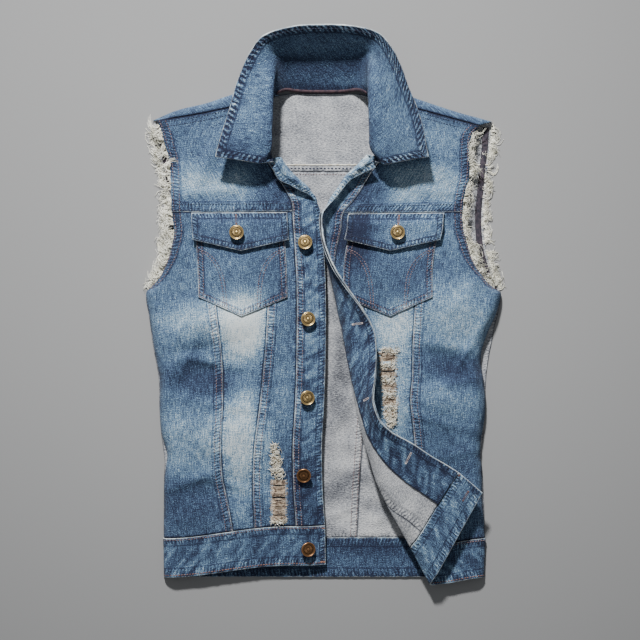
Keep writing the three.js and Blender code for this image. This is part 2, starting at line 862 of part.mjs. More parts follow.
function collar() {
  return clothWall({
    across: steps(0, COLLAR_SECTIONS, 2 * COLLAR_SECTIONS),
    along: [0, 0.1, 0.2, 0.28, 0.36, 0.42, 0.52, 0.75, 1],
    depth: COLLAR_CLOTH,
    facing: -1,
    point: (s, t) => {
      const c = collarSection(s);
      const neck = [c.neckX, c.neckY, c.neckZ];
      const roll = [c.rollX, c.rollY, c.rollZ];
      const edge = [c.edgeX, c.edgeY, c.edgeZ];
      const rise = mix(neck, roll, COLLAR_RISE_AT);
      const leaf = mix(roll, edge, COLLAR_LEAF_AT);
      leaf[2] += COLLAR_LEAF_SWELL;
      return through([0, 0.2, 0.36, 0.52, 1], [neck, rise, roll, leaf, edge], t);
    },
  });
}

// A two-part metal button: a domed cap with a raised rim, on a short shank.
const BUTTON = {
  radius: 9.5,
  rim: 1.2,
  cap: 3,
  dish: 0.9,
  dome: 1,
  shank: 3.4,
  stem: 3,
  round: 0.3,
  sides: 14,
};

function buttonGeometry() {
  const { radius, rim, cap, dish, dome, shank, stem, round, sides } = BUTTON;
  const profile = [
    [0, 0],
    [shank, 0],
    [shank, stem],
    [radius - rim, stem],
    [radius, stem + dish],
    [radius - round, stem + cap - round],
    [radius - rim, stem + cap],
    [radius - rim - dish, stem + cap - dish],
    [0, stem + cap - dish + dome],
  ];
  const lathe = new THREE.LatheGeometry(
    profile.map(([x, y]) => new THREE.Vector2(x, y)),
    sides,
  );
  return lathe.rotateX(Math.PI / 2);
}

// Places a button on a front at (u, v), standing on cloth whose face is `stand` proud of the laid surface.
function placeButton(front, name, { u, v, stand, tiltX = 0, tiltY = 0 }, material) {
  const step = 0.5;
  const at = new THREE.Vector3(...lay(front, u, v));
  const du = new THREE.Vector3(...lay(front, u + step, v)).sub(at);
  const dv = new THREE.Vector3(...lay(front, u, v + step)).sub(at);
  const normal = du.cross(dv).normalize().multiplyScalar(front.dir);
  normal.add(new THREE.Vector3(tiltX, tiltY, 0)).normalize();
  const mesh = new THREE.Mesh(buttonGeometry(), material);
  mesh.name = name;
  mesh.quaternion.setFromUnitVectors(new THREE.Vector3(0, 0, 1), normal);
  mesh.position.copy(at).addScaledVector(normal, stand);
  return mesh;
}

// Frayed armhole edges: locks of loose yarn, fused at their roots into a narrow strip beside the cloth's edge.
const FRINGE = {
  gap: 1.3,
  strip: 1.6,
  stripHigh: 1,
  lock: 1.1,
  taper: 0.35,
  shortest: 8,
  longest: 15,
  locks: 27,
  courses: 18,
  root: 0.9,
  sink: 0.5,
  sway: 3.2,
};

function toSolid(geometry) {
  const bare = new THREE.BufferGeometry().setAttribute("position", geometry.getAttribute("position"));
  if (geometry.index) bare.setIndex(geometry.index);
  const merged = mergeVertices(bare.index ? bare.toNonIndexed() : bare, 1e-4);
  return new wasm.Manifold(
    new wasm.Mesh({
      numProp: 3,
      vertProperties: merged.attributes.position.array,
      triVerts: new Uint32Array(merged.index.array),
    }),
  );
}

function toGeometry(solid) {
  const mesh = solid.getMesh();
  const geometry = new THREE.BufferGeometry();
  geometry.setAttribute("position", new THREE.BufferAttribute(new Float32Array(mesh.vertProperties), 3));
  geometry.setIndex(new THREE.BufferAttribute(new Uint32Array(mesh.triVerts), 1));
  return geometry;
}

// A tapering three-sided lock from a root to its tip.
function lockSolid(root, tip) {
  const run = new THREE.Vector3(...tip).sub(new THREE.Vector3(...root)).normalize();
  const across = new THREE.Vector3(0, 0, 1).cross(run).normalize();
  const up = run.clone().cross(across);
  const ring = (at, size) =>
    [0, 1, 2].map((corner) => {
      const angle = (corner * 2 * Math.PI) / 3;
      return new THREE.Vector3(...at)
        .addScaledVector(across, size * Math.cos(angle))
        .addScaledVector(up, size * Math.sin(angle))
        .toArray();
    });
  const low = ring(root, FRINGE.lock);
  const high = ring(tip, FRINGE.lock * FRINGE.taper);
  const corners = [0, 1, 2].flatMap((c) => {
    const d = (c + 1) % 3;
    return [low[c], low[d], high[d], low[c], high[d], high[c]];
  });
  corners.push(low[0], low[2], low[1], high[0], high[1], high[2]);
  const geometry = new THREE.BufferGeometry();
  geometry.setAttribute("position", new THREE.Float32BufferAttribute(corners.flat(), 3));
  return toSolid(geometry);
}

// The fringe along edge(t), whose outward side is `dir` along X. `lowest` keeps lock ends off the surface.
function fringe(edge, dir, { lift, lowest }) {
  const outward = (t) => {
    const near = 0.01;
    const [x0, y0] = edge(Math.max(t - near, 0));
    const [x1, y1] = edge(Math.min(t + near, 1));
    const long = Math.hypot(x1 - x0, y1 - y0);
    return [(dir * (y1 - y0)) / long, (-dir * (x1 - x0)) / long];
  };
  const strip = clothWall({
    across: [0, 1],
    along: steps(0, 1, FRINGE.courses),
    facing: dir,
    depth: FRINGE.stripHigh,
    point: (s, t) => {
      const [x, y, z] = edge(t);
      const [nx, ny] = outward(t);
      const from = FRINGE.gap + s * FRINGE.strip;
      return [x + nx * from, y + ny * from, z];
    },
  });
  let joined = toSolid(strip);
  for (let n = 0; n < FRINGE.locks; n += 1) {
    const t = (n + 0.5) / FRINGE.locks;
    const [x, y, z] = edge(t);
    const [nx, ny] = outward(t);
    const wave = Math.sin(n * 2.4) * 0.5 + Math.sin(n * 5.1 + 1) * 0.5;
    const long = lerp(FRINGE.shortest, FRINGE.longest, 0.5 + 0.5 * Math.sin(n * 1.7 + 0.6));
    const sway = FRINGE.sway * wave;
    const from = FRINGE.gap + FRINGE.root;
    const high = z - FRINGE.sink;
    const root = [x + nx * from, y + ny * from, Math.max(high, lowest + FRINGE.lock)];
    const rise = lift * (0.4 + 0.6 * wave);
    const tip = [
      x + nx * long - ny * sway * dir,
      y + ny * long + nx * sway * dir,
      Math.max(high + rise, lowest + FRINGE.lock * FRINGE.taper),
    ];
    joined = joined.add(lockSolid(root, tip));
  }
  return toGeometry(joined);
}

const frontArmhole = (front) => (t) => {
  const v = lerp(UNDERARM + 10, front.shoulder - 4, t);
  return [front.side(v).x, v + HEM_Y, footing(v).high];
};
const backArmhole = (side) => (t) => {
  const v = lerp(UNDERARM + 8, 586, t);
  return [side(v).x, v + HEM_Y, CLOTH];
};

// Worn-through places: each gap is a rounded slot, cut right through, between bands of bare threads.
const RIPS = {
  right: [
    { x: -62, y: -208, wide: 14, high: 13 },
    { x: -59, y: -226, wide: 17, high: 12 },
    { x: -57, y: -247, wide: 17, high: 20 },
    { x: -56, y: -270, wide: 18, high: 15 },
  ],
  left: [
    { x: 84, y: -66, wide: 20, high: 12 },
    { x: 84, y: -86, wide: 19, high: 11 },
    { x: 85, y: -105, wide: 15, high: 13 },
    { x: 87, y: -123, wide: 16, high: 12 },
    { x: 87, y: -140, wide: 13, high: 10 },
  ],
};

const RIP_ROUND = 0.35;
const RIP_DEPTH = 60;

function cutRips(geometry, rips) {
  const cut = rips.reduce((solid, { x, y, wide, high }) => {
    const round = Math.min(wide, high) * RIP_ROUND;
    const shape = new THREE.Shape();
    const [left, right, low, top] = [x - wide / 2, x + wide / 2, y - high / 2, y + high / 2];
    shape.moveTo(left + round, low);
    shape.lineTo(right - round, low);
    shape.quadraticCurveTo(right, low, right, low + round);
    shape.lineTo(right, top - round);
    shape.quadraticCurveTo(right, top, right - round, top);
    shape.lineTo(left + round, top);
    shape.quadraticCurveTo(left, top, left, top - round);
    shape.lineTo(left, low + round);
    shape.quadraticCurveTo(left, low, left + round, low);
    const cutter = new THREE.ExtrudeGeometry(shape, {
      depth: RIP_DEPTH,
      bevelEnabled: false,
      curveSegments: 2,
    });
    return solid.subtract(toSolid(cutter));
  }, toSolid(geometry));
  return toGeometry(cut);
}

const denim = (color) => new THREE.MeshStandardMaterial({ color, roughness: 0.9, metalness: 0 });
const faded = denim(0x7e9cb8);
const worn = denim(0x55769a);
const deep = denim(0x3d5a80);
const bare = denim(0xb9bcc0);
const yarn = denim(0xded9c6);
const brass = new THREE.MeshStandardMaterial({ color: 0xb08a52, roughness: 0.35, metalness: 1 });

const vest = new THREE.Group();
function add(name, geometry, material) {
  const mesh = new THREE.Mesh(geometry, material);
  mesh.name = name;
  vest.add(mesh);
}

const backRight = (v) => backSide.right(v).x;
const backLeft = (v) => backSide.left(v).x;
const seamRight = (v) => -backSeam(v).x;
const seamLeft = (v) => backSeam(v).x;
add("back_yoke", backYoke(), bare);
add("back_centre", backBody(seamRight, seamLeft, 4), bare);
add("back_side_right", backBody(backRight, seamRight, 3), worn);
add("back_side_left", backBody(seamLeft, backLeft, 3), worn);
add(
  "back_waistband",
  backPiece({
    xFrom: backRight,
    xTo: backLeft,
    columns: 8,
    along: [0, BAND_TOP - HALF_GAP],
    depth: BAND_CLOTH,
  }),
  deep,
);

for (const front of [rightFront, leftFront]) {
  const rips = RIPS[front.name];
  const ripped = front.name === "right" ? "centre" : "middle";
  const centre = centrePanel(front);
  const middle = middlePanel(front);
  add(`front_centre_${front.name}`, ripped === "centre" ? cutRips(centre, rips) : centre, faded);
  add(`front_middle_${front.name}`, ripped === "middle" ? cutRips(middle, rips) : middle, faded);
  add(`front_side_${front.name}`, sidePanel(front), worn);
  add(`front_yoke_${front.name}`, frontYoke(front), faded);
  add(`placket_${front.name}`, placket(front), worn);
  add(`waistband_${front.name}`, waistband(front), deep);
  add(`pocket_${front.name}`, pocket(front), worn);
  add(`flap_${front.name}`, pocketFlap(front), worn);
  const frontFringe = fringe(frontArmhole(front), front.dir, { lift: 2, lowest: 2.5 });
  const backFringe = fringe(backArmhole(backSide[front.name]), front.dir, { lift: 1, lowest: 0.3 });
  add(`fringe_front_${front.name}`, frontFringe, yarn);
  add(`fringe_back_${front.name}`, backFringe, yarn);
}
add("facing_left", facing(leftFront), deep);
add("collar", collar(), deep);

const PLACKET_FACE = PLACKET_PROUD + SEAM_GAP;
const BAND_FACE = BAND_PROUD + SEAM_GAP;
const FLAP_FACE = LAYER_GAP + FLAP_CLOTH + FLAP.stand + 1 + SEAM_GAP;
const BUTTONS = [
  { u: 24, v: 437, stand: PLACKET_FACE, tiltY: 0.1 },
  { u: 24, v: 338, stand: PLACKET_FACE, tiltY: 0.05 },
  { u: 23, v: 227, stand: PLACKET_FACE, tiltX: 0.05 },
  { u: 24, v: 122, stand: PLACKET_FACE + 1, tiltX: -0.1, tiltY: -0.25 },
  { u: 24, v: 22, stand: BAND_FACE + 0.6, tiltX: 0.15 },
];
BUTTONS.forEach((place, i) => vest.add(placeButton(rightFront, `button_${i + 1}`, place, brass)));
for (const front of [rightFront, leftFront])
  vest.add(placeButton(front, `button_flap_${front.name}`, { u: 112, v: 450, stand: FLAP_FACE }, brass));

// The origin is the middle of the plan, on the surface that the vest lies on.
vest.updateMatrixWorld(true);
const extent = new THREE.Box3().setFromObject(vest, true);
const centre = extent.getCenter(new THREE.Vector3());
vest.position.set(-centre.x, -centre.y, -extent.min.z);

export default vest;
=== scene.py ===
"""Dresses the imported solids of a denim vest, laid flat and open, in washed cloth, thread and brass.

Lengths are in millimetres until a mesh is made. +X is the wearer's left, +Y runs from the hem to the collar,
and +Z is up from the floor. Each cut piece is a thin shell on the form of its solid. A front's surface is
written in the pattern's own measures: u is the distance from the free front edge, v the height over the hem.
"""

import math
from types import SimpleNamespace

import bpy
import numpy as np
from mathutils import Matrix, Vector


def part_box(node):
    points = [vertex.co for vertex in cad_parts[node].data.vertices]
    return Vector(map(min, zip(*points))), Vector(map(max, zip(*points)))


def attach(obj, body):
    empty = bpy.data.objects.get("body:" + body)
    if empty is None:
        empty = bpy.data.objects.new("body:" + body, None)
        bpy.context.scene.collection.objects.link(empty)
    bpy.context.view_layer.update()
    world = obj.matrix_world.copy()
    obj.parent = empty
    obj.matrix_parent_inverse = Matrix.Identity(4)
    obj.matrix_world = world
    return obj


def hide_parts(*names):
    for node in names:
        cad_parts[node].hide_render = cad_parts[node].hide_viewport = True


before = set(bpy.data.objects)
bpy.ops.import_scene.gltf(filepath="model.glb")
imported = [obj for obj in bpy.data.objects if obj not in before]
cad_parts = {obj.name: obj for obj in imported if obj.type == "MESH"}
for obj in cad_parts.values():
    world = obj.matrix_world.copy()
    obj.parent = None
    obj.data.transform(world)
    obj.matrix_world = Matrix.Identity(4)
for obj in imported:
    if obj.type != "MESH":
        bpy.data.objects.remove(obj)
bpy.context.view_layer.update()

bl_info = {
    "name": "Denim vest looks",
    "version": (1, 0, 0),
    "blender": (4, 5, 0),
    "location": "3D View > Sidebar > Vest",
    "description": "Cloth, stitching, frayed edges and buttons of a denim vest",
    "category": "Object",
}

MM = 0.001

# Cloth thicknesses and the steps between layers.
CLOTH = 1.4
BAND_CLOTH = 2.4
PLACKET_CLOTH = 2.0
COLLAR_CLOTH = 2.4
POCKET_CLOTH = 1.2
FLAP_CLOTH = 1.8
FACING_CLOTH = 1.0
PLACKET_PROUD = 0.4
BAND_PROUD = 0.5
SEAM_GAP = 0.32
HALF_GAP = SEAM_GAP / 2
LAYER_GAP = 0.8

# Pattern measures, the same on both fronts.
HEM_Y = -354
BAND_TOP = 52
UNDERARM = 372
YOKE_SEAM = 477
NECK_CORNER = 566
PLACKET_WIDTH = 38
FACING_WIDTH = 50
BACK_YOKE_SEAM = 531
BACK_HEM_X = -209.5

# How a front's side rolls down to the back, and how its opening edge turns over.
SIDE_ROLL = 15
ARMHOLE_ROLL = 6
ROLL_CHANGE = 30
TURN_REACH = 7
TURN_REACH_PER_ROLL = 0.07
TURN_BROW = 6
TURN_BULGE = 3
TURN_NEAR = 0.35
SAG_FROM = 0.85


def smooth(f):
    f = np.clip(f, 0, 1)
    return f * f * (3 - 2 * f)


def lerp(a, b, f):
    return a + (b - a) * f


def bell(x, wide):
    return np.exp(-((x / wide) ** 2))


def unit(vectors):
    """The vectors in the last axis, each made 1 long."""
    return vectors / np.maximum(np.linalg.norm(vectors, axis=-1, keepdims=True), 1e-9)


def curve(keys, values, at):
    """The curve through `values` at `keys`, read at `at`, with each slope taken from the neighbours."""
    keys = np.asarray(keys, float)
    values = np.asarray(values, float)
    at = np.clip(np.asarray(at, float), keys[0], keys[-1])
    last = len(keys) - 1
    i = np.clip(np.searchsorted(keys, at, side="left") - 1, 0, last - 1)
    before = np.maximum(np.arange(last + 1) - 1, 0)
    after = np.minimum(np.arange(last + 1) + 1, last)
    run = (keys[after] - keys[before]).reshape((-1,) + (1,) * (values.ndim - 1))
    slopes = (values[after] - values[before]) / run
    h = keys[i + 1] - keys[i]
    f = (at - keys[i]) / h
    if values.ndim > 1:
        h, f = h[..., None], f[..., None]
    return (
        values[i] * (1 + 2 * f) * (1 - f) ** 2
        + values[i + 1] * f * f * (3 - 2 * f)
        + h * f * (1 - f) * (slopes[i] * (1 - f) - slopes[i + 1] * f)
    )


def curve_each(keys, points, at):
    """The same curve where each place has keys and points of its own."""
    last = keys.shape[1] - 1
    at = np.clip(at, keys[:, 0], keys[:, -1])
    i = (at[:, None] > keys[:, 1:-1]).sum(1)
    row = np.arange(len(at))

    def slope(n):
        before = np.maximum(n - 1, 0)
        after = np.minimum(n + 1, last)
        run = (keys[row, after] - keys[row, before])[:, None]
        return (points[row, after] - points[row, before]) / run

    h = (keys[row, i + 1] - keys[row, i])[:, None]
    f = ((at - keys[row, i]))[:, None] / h
    return (
        points[row, i] * (1 + 2 * f) * (1 - f) ** 2
        + points[row, i + 1] * f * f * (3 - 2 * f)
        + h * f * (1 - f) * (slope(i) * (1 - f) - slope(i + 1) * f)
    )


def table(columns, rows):
    """A table with named columns, read smoothly at any values of its first column."""
    rows = np.array(rows, float)

    def read(at):
        found = curve(rows[:, 0], rows[:, 1:], at)
        return SimpleNamespace(**{name: found[..., c] for c, name in enumerate(columns[1:])})

    return read


def noise(x, y, seed):
    """Smooth noise from -1 to 1 whose grain is one unit wide."""
    size = 128
    grid = np.random.default_rng(seed).uniform(-1, 1, (size, size))
    xi, yi = np.floor(x).astype(int), np.floor(y).astype(int)
    fx, fy = smooth(x - xi), smooth(y - yi)
    low = lerp(grid[xi % size, yi % size], grid[(xi + 1) % size, yi % size], fx)
    high = lerp(grid[xi % size, (yi + 1) % size], grid[(xi + 1) % size, (yi + 1) % size], fx)
    return lerp(low, high, fy)


# The fronts as they lie

# Height of the fronts' outer face over the surface that the vest lies on, before its folds.
loft = table(
    ["v", "high"],
    [[0, 11], [BAND_TOP, 13], [120, 16], [240, 18], [360, 17], [YOKE_SEAM, 15], [560, 15], [630, 16]],
)

# Height of a front's outer edge: along the side seam it stands on the back, and along the armhole it is free.
footing = table(
    ["v", "high"],
    [[0, 3.4], [46, 3.4], [52, 3.2], [62, 2.2], [200, 2.1], [340, 2.1], [368, 2.4], [384, 4.5], [400, 8],
     [425, 11], [YOKE_SEAM, 12], [600, 12.5]],
)

# The largest folds and swells, which the solids have too: middle, turn from +X in degrees, half length,
# half width and height.
FOLDS = [
    (-140, -22, 4, 62, 26, 7),
    (-150, -86, 6, 55, 18, -4),
    (-125, -165, -4, 60, 34, 6),
    (-200, -90, 65, 24, 6, 3),
    (-120, -240, 8, 70, 20, -3),
    (-146, 196, 62, 48, 11, 3.5),
    (-190, 200, 75, 40, 9, -2),
    (-64, 196, 80, 30, 20, 5),
    (64, 196, -80, 30, 20, 5),
    (152, 190, -60, 45, 13, 3),
    (170, 0, -8, 45, 38, 7),
    (166, -72, -10, 32, 17, -4),
    (162, -122, 4, 45, 22, 5),
    (192, -86, -68, 34, 7, 3),
    (196, -160, -60, 20, 6, 2.5),
    (170, -200, 0, 40, 30, -3),
]


def swell(folds, x, y, crisp=1.0):
    """The sum of folds at x and y. Above 1, `crisp` levels their middles and steepens their sides."""
    found = np.zeros_like(x)
    for middle_x, middle_y, turn, long, wide, high in folds:
        c, s = math.cos(math.radians(turn)), math.sin(math.radians(turn))
        dx, dy = x - middle_x, y - middle_y
        along = (dx * c + dy * s) / long
        across = (dy * c - dx * s) / wide
        found += high * np.exp(-((along * along + across * across) ** crisp))
    return found


def front_height(x, y):
    return loft(y - HEM_Y).high + swell(FOLDS, x, y)


OPENING = ["v", "roll", "turn", "crest_x", "crest_y", "crest_z", "free_x", "free_y", "free_z"]
RIGHT = SimpleNamespace(
    name="right",
    dir=-1,
    shoulder_sag=3,
    side=table(
        ["v", "x"],
        [[0, -208], [52, -209], [100, -208.5], [130, -208], [148, -205.5], [160, -204.5], [172, -207],
         [190, -212], [220, -214], [260, -214.5], [300, -221.5], [340, -227.5], [UNDERARM, -232],
         [380, -224], [391, -214], [401, -208.5], [417, -202], [431, -198], [451, -194.5], [473, -197],
         [492, -198], [525, -199.5], [551, -202], [564, -206], [583, -211], [596, -216.5]],
    ),
    opening=table(
        OPENING,
        [[0, 20, 0, -17, -338, -1, 3, -337, -3],
         [52, 20, 0, -18, -286, -1, 2, -285, -3],
         [100, 20, 0, -21, -239, -1, -1, -239, -4],
         [160, 20, 0, -22, -182, -1, -2, -182, -4],
         [220, 20, 0, -19, -125, -1, 1, -125, -4],
         [300, 20, 0, -17, -54, -1, 3, -54, -4],
         [380, 20, 0, -17, 26, -1, 3, 26, -3],
         [440, 20, 0, -20, 86, 0, 0, 86, -1],
         [470, 16, 0, -18, 116, 0, -2, 116, 0],
         [486, 6, 0.3, -9, 134, 3, -7, 132, 2],
         [502, 6, 0.5, -16, 149, 4, -18, 145, 4],
         [517, 9, 0.8, -25, 159, 5, -31, 151, 6],
         [532, 13, 1, -36, 168, 6, -44, 158, 8],
         [546, 17, 1, -46, 179, 7, -57, 164, 9],
         [NECK_CORNER, 18, 1, -56, 193, 7, -66, 179, 10]],
    ),
    neckline=[[-80, 205], [-79, 229], [-75, 255], [-72, 272]],
    shoulder=596,
)
LEFT = SimpleNamespace(
    name="left",
    dir=1,
    shoulder_sag=0,
    side=table(
        ["v", "x"],
        [[0, 209.5], [52, 211], [100, 208], [140, 207], [160, 205], [177, 205.5], [195, 208.5], [212, 211],
         [234, 211.5], [250, 210], [265, 208], [280, 206], [295, 206.5], [310, 211], [325, 217], [340, 224],
         [355, 229], [UNDERARM, 232], [376, 226], [383, 216], [393, 207.5], [404, 200], [417, 193],
         [434, 188], [454, 182.5], [473, 181.5], [486, 181.5], [506, 185], [519, 189], [538, 190.5],
         [558, 190.5], [577, 193], [589, 203.5]],
    ),
    opening=table(
        OPENING,
        [[0, 138, 1, 140, -362, 5, 206, -241, 20],
         [52, 116, 1, 114, -313, 5, 174, -214, 20],
         [70, 107, 1, 102, -291, 6, 157, -203, 20],
         [90, 96, 1, 89, -268, 6, 141, -194, 20],
         [120, 83, 1, 73, -237, 6, 114, -176, 21],
         [152, 73, 1, 62, -203, 6, 89, -162, 25],
         [182, 66, 1, 53, -173, 6, 75, -148, 29],
         [208, 63, 1, 47, -147, 6, 68, -132, 31],
         [234, 60, 1, 41, -121, 6, 65, -116, 31],
         [265, 54, 1, 36, -89, 6, 68, -89, 27],
         [298, 51, 1, 31, -56, 6, 69, -56, 22],
         [324, 49, 1, 27, -30, 6, 65, -29, 21],
         [350, 45, 1, 21, -4, 6, 51, -3, 26],
         [376, 40, 0.9, 16, 22, 6, 34, 21, 30],
         [402, 34, 0.7, 10, 48, 6, 17, 46, 32],
         [428, 25, 0.3, 4, 74, 6, 4.5, 73, 29],
         [454, 17, 0, 2, 100, 6, -1.5, 99, 24],
         [477, 15, 0, 3, 122, 6, -1, 121, 20],
         [492, 8, 0.3, 9, 138, 8, 8, 132, 12],
         [512, 7, 0.5, 18, 152, 7, 21, 147, 9],
         [534, 9, 0.8, 30, 170, 7, 34, 163, 9],
         [548, 13, 1, 42, 181, 7, 48, 171, 9],
         [NECK_CORNER, 19, 1, 57, 196, 7, 68, 180, 10]],
    ),
    neckline=[[75, 205], [72, 229], [70, 255], [67, 272]],
    shoulder=589,
)
FRONTS = (RIGHT, LEFT)

inner_seam = table(["v", "u"], [[BAND_TOP, 92], [130, 90], [234, 83], [355, 76], [YOKE_SEAM, 72]])
outer_seam = table(
    ["v", "u"],
    [[BAND_TOP, 120], [90, 124], [130, 130], [234, 132], [300, 136], [355, 143], [YOKE_SEAM, 153]],
)


def roll_reach(v):
    return lerp(SIDE_ROLL, ARMHOLE_ROLL, smooth((v - UNDERARM) / ROLL_CHANGE))


def rolled_height(x, y, v, inset):
    """Height of a front's outer face where its side rolls down, at `inset` from its outline."""
    rise = np.sqrt(1 - (1 - np.clip(inset / roll_reach(v), 0, 1)) ** 2)
    return lerp(footing(v).high, front_height(x, y), rise)


def flat_row(front, v):
    opening = front.opening(v)
    side_x = front.side(v).x
    reach = roll_reach(v)
    wide = np.abs(side_x - (opening.crest_x - front.dir * opening.roll))
    drop = front_height(side_x - front.dir * reach, v + HEM_Y) - footing(v).high
    arc = (math.pi / 2) * np.sqrt((reach * reach + drop * drop) / 2)
    return SimpleNamespace(
        opening=opening, side_x=side_x, reach=reach, wide=wide, arc=arc, span=wide - reach + arc
    )


def side_seam(front, v):
    return flat_row(front, v).span


def flat_point(front, row, u, v):
    angle = np.clip((row.span - u) / row.arc, 0, 1) * (math.pi / 2)
    inset = np.where(u < row.wide - row.reach, row.wide - u, row.reach * (1 - np.cos(angle)))
    x = row.side_x - front.dir * inset
    lift = row.opening.crest_y - (v + HEM_Y)
    y = v + HEM_Y + lift * smooth((row.wide - u) / (row.wide - row.opening.roll) / SAG_FROM)
    return np.stack([x, y, rolled_height(x, y, v, inset)], -1)


def lay(front, u, v):
    """A front's outer face: its lying part, the crest where it turns over, and the turned part."""
    u, v = np.broadcast_arrays(np.asarray(u, float), np.asarray(v, float))
    shape = u.shape
    u, v = u.ravel(), v.ravel()
    row = flat_row(front, v)
    o = row.opening
    reach = TURN_REACH + TURN_REACH_PER_ROLL * o.roll
    near = np.minimum(reach, TURN_NEAR * o.roll)
    ground = front_height(o.crest_x, o.crest_y)
    crest = np.stack([o.crest_x, o.crest_y, ground + o.crest_z], -1)
    free = np.stack([o.free_x, o.free_y, ground + o.free_z], -1)
    brow = lerp(crest, free, (near / o.roll)[:, None])
    brow[:, 2] += TURN_BROW * o.turn
    middle = lerp(crest, free, 0.5)
    middle[:, 2] += TURN_BULGE * o.turn
    past, beyond = o.roll + reach, o.roll + 2 * reach
    keys = np.stack([0 * u, o.roll / 2, o.roll - near, o.roll, past, beyond], 1)
    stations = [free, middle, brow, crest, flat_point(front, row, past, v), flat_point(front, row, beyond, v)]
    turned = curve_each(keys, np.stack(stations, 1), u)
    flat = flat_point(front, row, u, v)
    return np.where((u >= past)[:, None], flat, turned).reshape(shape + (3,))


def shoulder_seam(front, f):
    """A front's shoulder seam from the neck to the armhole, in plan."""
    f = np.asarray(f, float)
    neck_x, neck_y = front.neckline[-1]
    arm_x, arm_y = float(front.side(front.shoulder).x), front.shoulder + HEM_Y
    return lerp(neck_x, arm_x, f), lerp(neck_y, arm_y, f) - front.shoulder_sag * np.sin(math.pi * f)


def front_face(front, x, y):
    v = y - HEM_Y
    return rolled_height(x, y, v, np.abs(x - front.side(v).x))


# The grids that pieces are made on

RIM = 0.7


def levels(long, step):
    """Places from 0 to 1 along a piece `long` across, `step` apart and closer at its two rims."""
    count = max(int(round((long - 2 * RIM) / step)), 2)
    rim = np.array([0, 0.25, 0.6]) * RIM
    places = np.concatenate([rim, np.linspace(RIM, long - RIM, count + 1), long - rim[::-1]])
    return places / long


def normals_of(points, facing):
    across = np.gradient(points, axis=1)
    along = np.gradient(points, axis=0)
    return unit(np.cross(across, along) * facing)


def run_lengths(points, axis):
    """Distance from the first point, along each row or column of a grid."""
    steps = np.linalg.norm(np.diff(points, axis=axis), axis=2)
    total = np.cumsum(steps, axis=axis)
    pad = [(0, 0), (0, 0)]
    pad[axis] = (1, 0)
    return np.pad(total, pad)


class Piece:
    """A cut piece of cloth as a grid over its laid surface, with its distances from its four edges.

    The edges are `near` and `far` across the rows, and `low` and `high` along the columns.
    """

    def __init__(self, s, t, points, facing):
        self.s, self.t, self.facing = s, t, facing
        self.base = points
        self.normal = normals_of(points, facing)
        across, along = run_lengths(points, 1), run_lengths(points, 0)
        self.near, self.far = across, across[:, -1:] - across
        self.low, self.high = along, along[-1:, :] - along
        self.height = np.zeros(across.shape)
        self.rope = np.zeros(across.shape)
        self.seam = np.full(across.shape, 40.0)
        self.run = np.zeros(across.shape)
        self.band = np.zeros(across.shape)
        # How washed out the cloth is, with painted light and shade added in places.
        self.fade = np.zeros(across.shape)
        self.keep = None

    def edge(self, name):
        """Distance from one edge, and the run along it."""
        off = getattr(self, name)
        return off, (self.low if name in ("near", "far") else self.near)

    @property
    def rim(self):
        return np.minimum(np.minimum(self.near, self.far), np.minimum(self.low, self.high))

    def face(self):
        return self.base + self.normal * self.height[..., None]

    def at(self, s, t):
        """Points of the outer face, and its normals, at places s and t from 0 to 1."""
        column = np.interp(s, self.s, np.arange(len(self.s)))
        row = np.interp(t, self.t, np.arange(len(self.t)))
        return self.read(row, column)

    def read(self, row, column):
        i = np.clip(column.astype(int), 0, len(self.s) - 2)
        j = np.clip(row.astype(int), 0, len(self.t) - 2)
        fi, fj = (column - i)[:, None], (row - j)[:, None]
        found = []
        for grid in (self.face(), self.normal):
            low = lerp(grid[j, i], grid[j, i + 1], fi)
            high = lerp(grid[j + 1, i], grid[j + 1, i + 1], fi)
            found.append(lerp(low, high, fj))
        return found

    def line(self, edge, off, start=0.0, end=1.0):
        """A line `off` from an edge, between two shares of its run, as points and normals."""
        distance = getattr(self, edge)
        along_rows = edge in ("near", "far")
        count = len(self.t) if along_rows else len(self.s)
        place = np.empty(count)
        for n in range(count):
            run = distance[n] if along_rows else distance[:, n]
            order = slice(None, None, -1) if edge in ("far", "high") else slice(None)
            place[n] = np.interp(off, run[order], np.arange(len(run))[order])
        steps = np.arange(count).astype(float)
        share = (self.t if along_rows else self.s)
        inside = (share >= start) & (share <= end)
        row, column = (steps, place) if along_rows else (place, steps)
        return self.read(row[inside], column[inside])


def wrinkle(run, off, pitch, reach, skew, seed):
    """Small ridges across a seam, from -1 to 1, which lean by `skew`."""
    broad = noise((run + skew * off) / pitch, off / reach, seed)
    fine = noise((run + skew * off) / (0.45 * pitch), off / (0.6 * reach), seed + 1)
    return 0.7 * broad + 0.3 * fine


FELL_RISE = 0.55
FELL_SLOPE = 1.2
EDGE_APART = 77.7


def sew_edge(piece, edge, kind, seed, width=11.0, skew=0.3, rise=0.3):
    """Shapes a piece beside a sewn edge: puckers in it, and for a felled seam its raised band."""
    off, run = piece.edge(edge)
    pitch = {"fell": 6.0, "plain": 6.5, "hem": 5.2}[kind]
    reach = {"fell": width + 3, "plain": 6.0, "hem": width}[kind]
    ridges = wrinkle(run, off, pitch, 1.3 * reach, skew, seed) * bell(off, reach)
    piece.rope += ridges
    piece.height += rise * ridges
    if kind == "fell":
        piece.height += FELL_RISE * smooth((width + FELL_SLOPE - off) / FELL_SLOPE)
    if kind == "hem":
        piece.height += 0.5 * FELL_RISE * smooth((width + 2 - off) / 2)
    nearest = off < piece.seam
    piece.run = np.where(nearest, run + EDGE_APART * seed, piece.run)
    piece.band = np.where(nearest, 0 if kind == "plain" else width, piece.band)
    piece.seam = np.where(nearest, off, piece.seam)


def sew(piece, seed, kinds, **options):
    """Sews the named edges, each of its kind, with a seed one higher from edge to edge."""
    for n, (edge, kind) in enumerate(kinds.items()):
        sew_edge(piece, edge, kind, seed + n, **options)


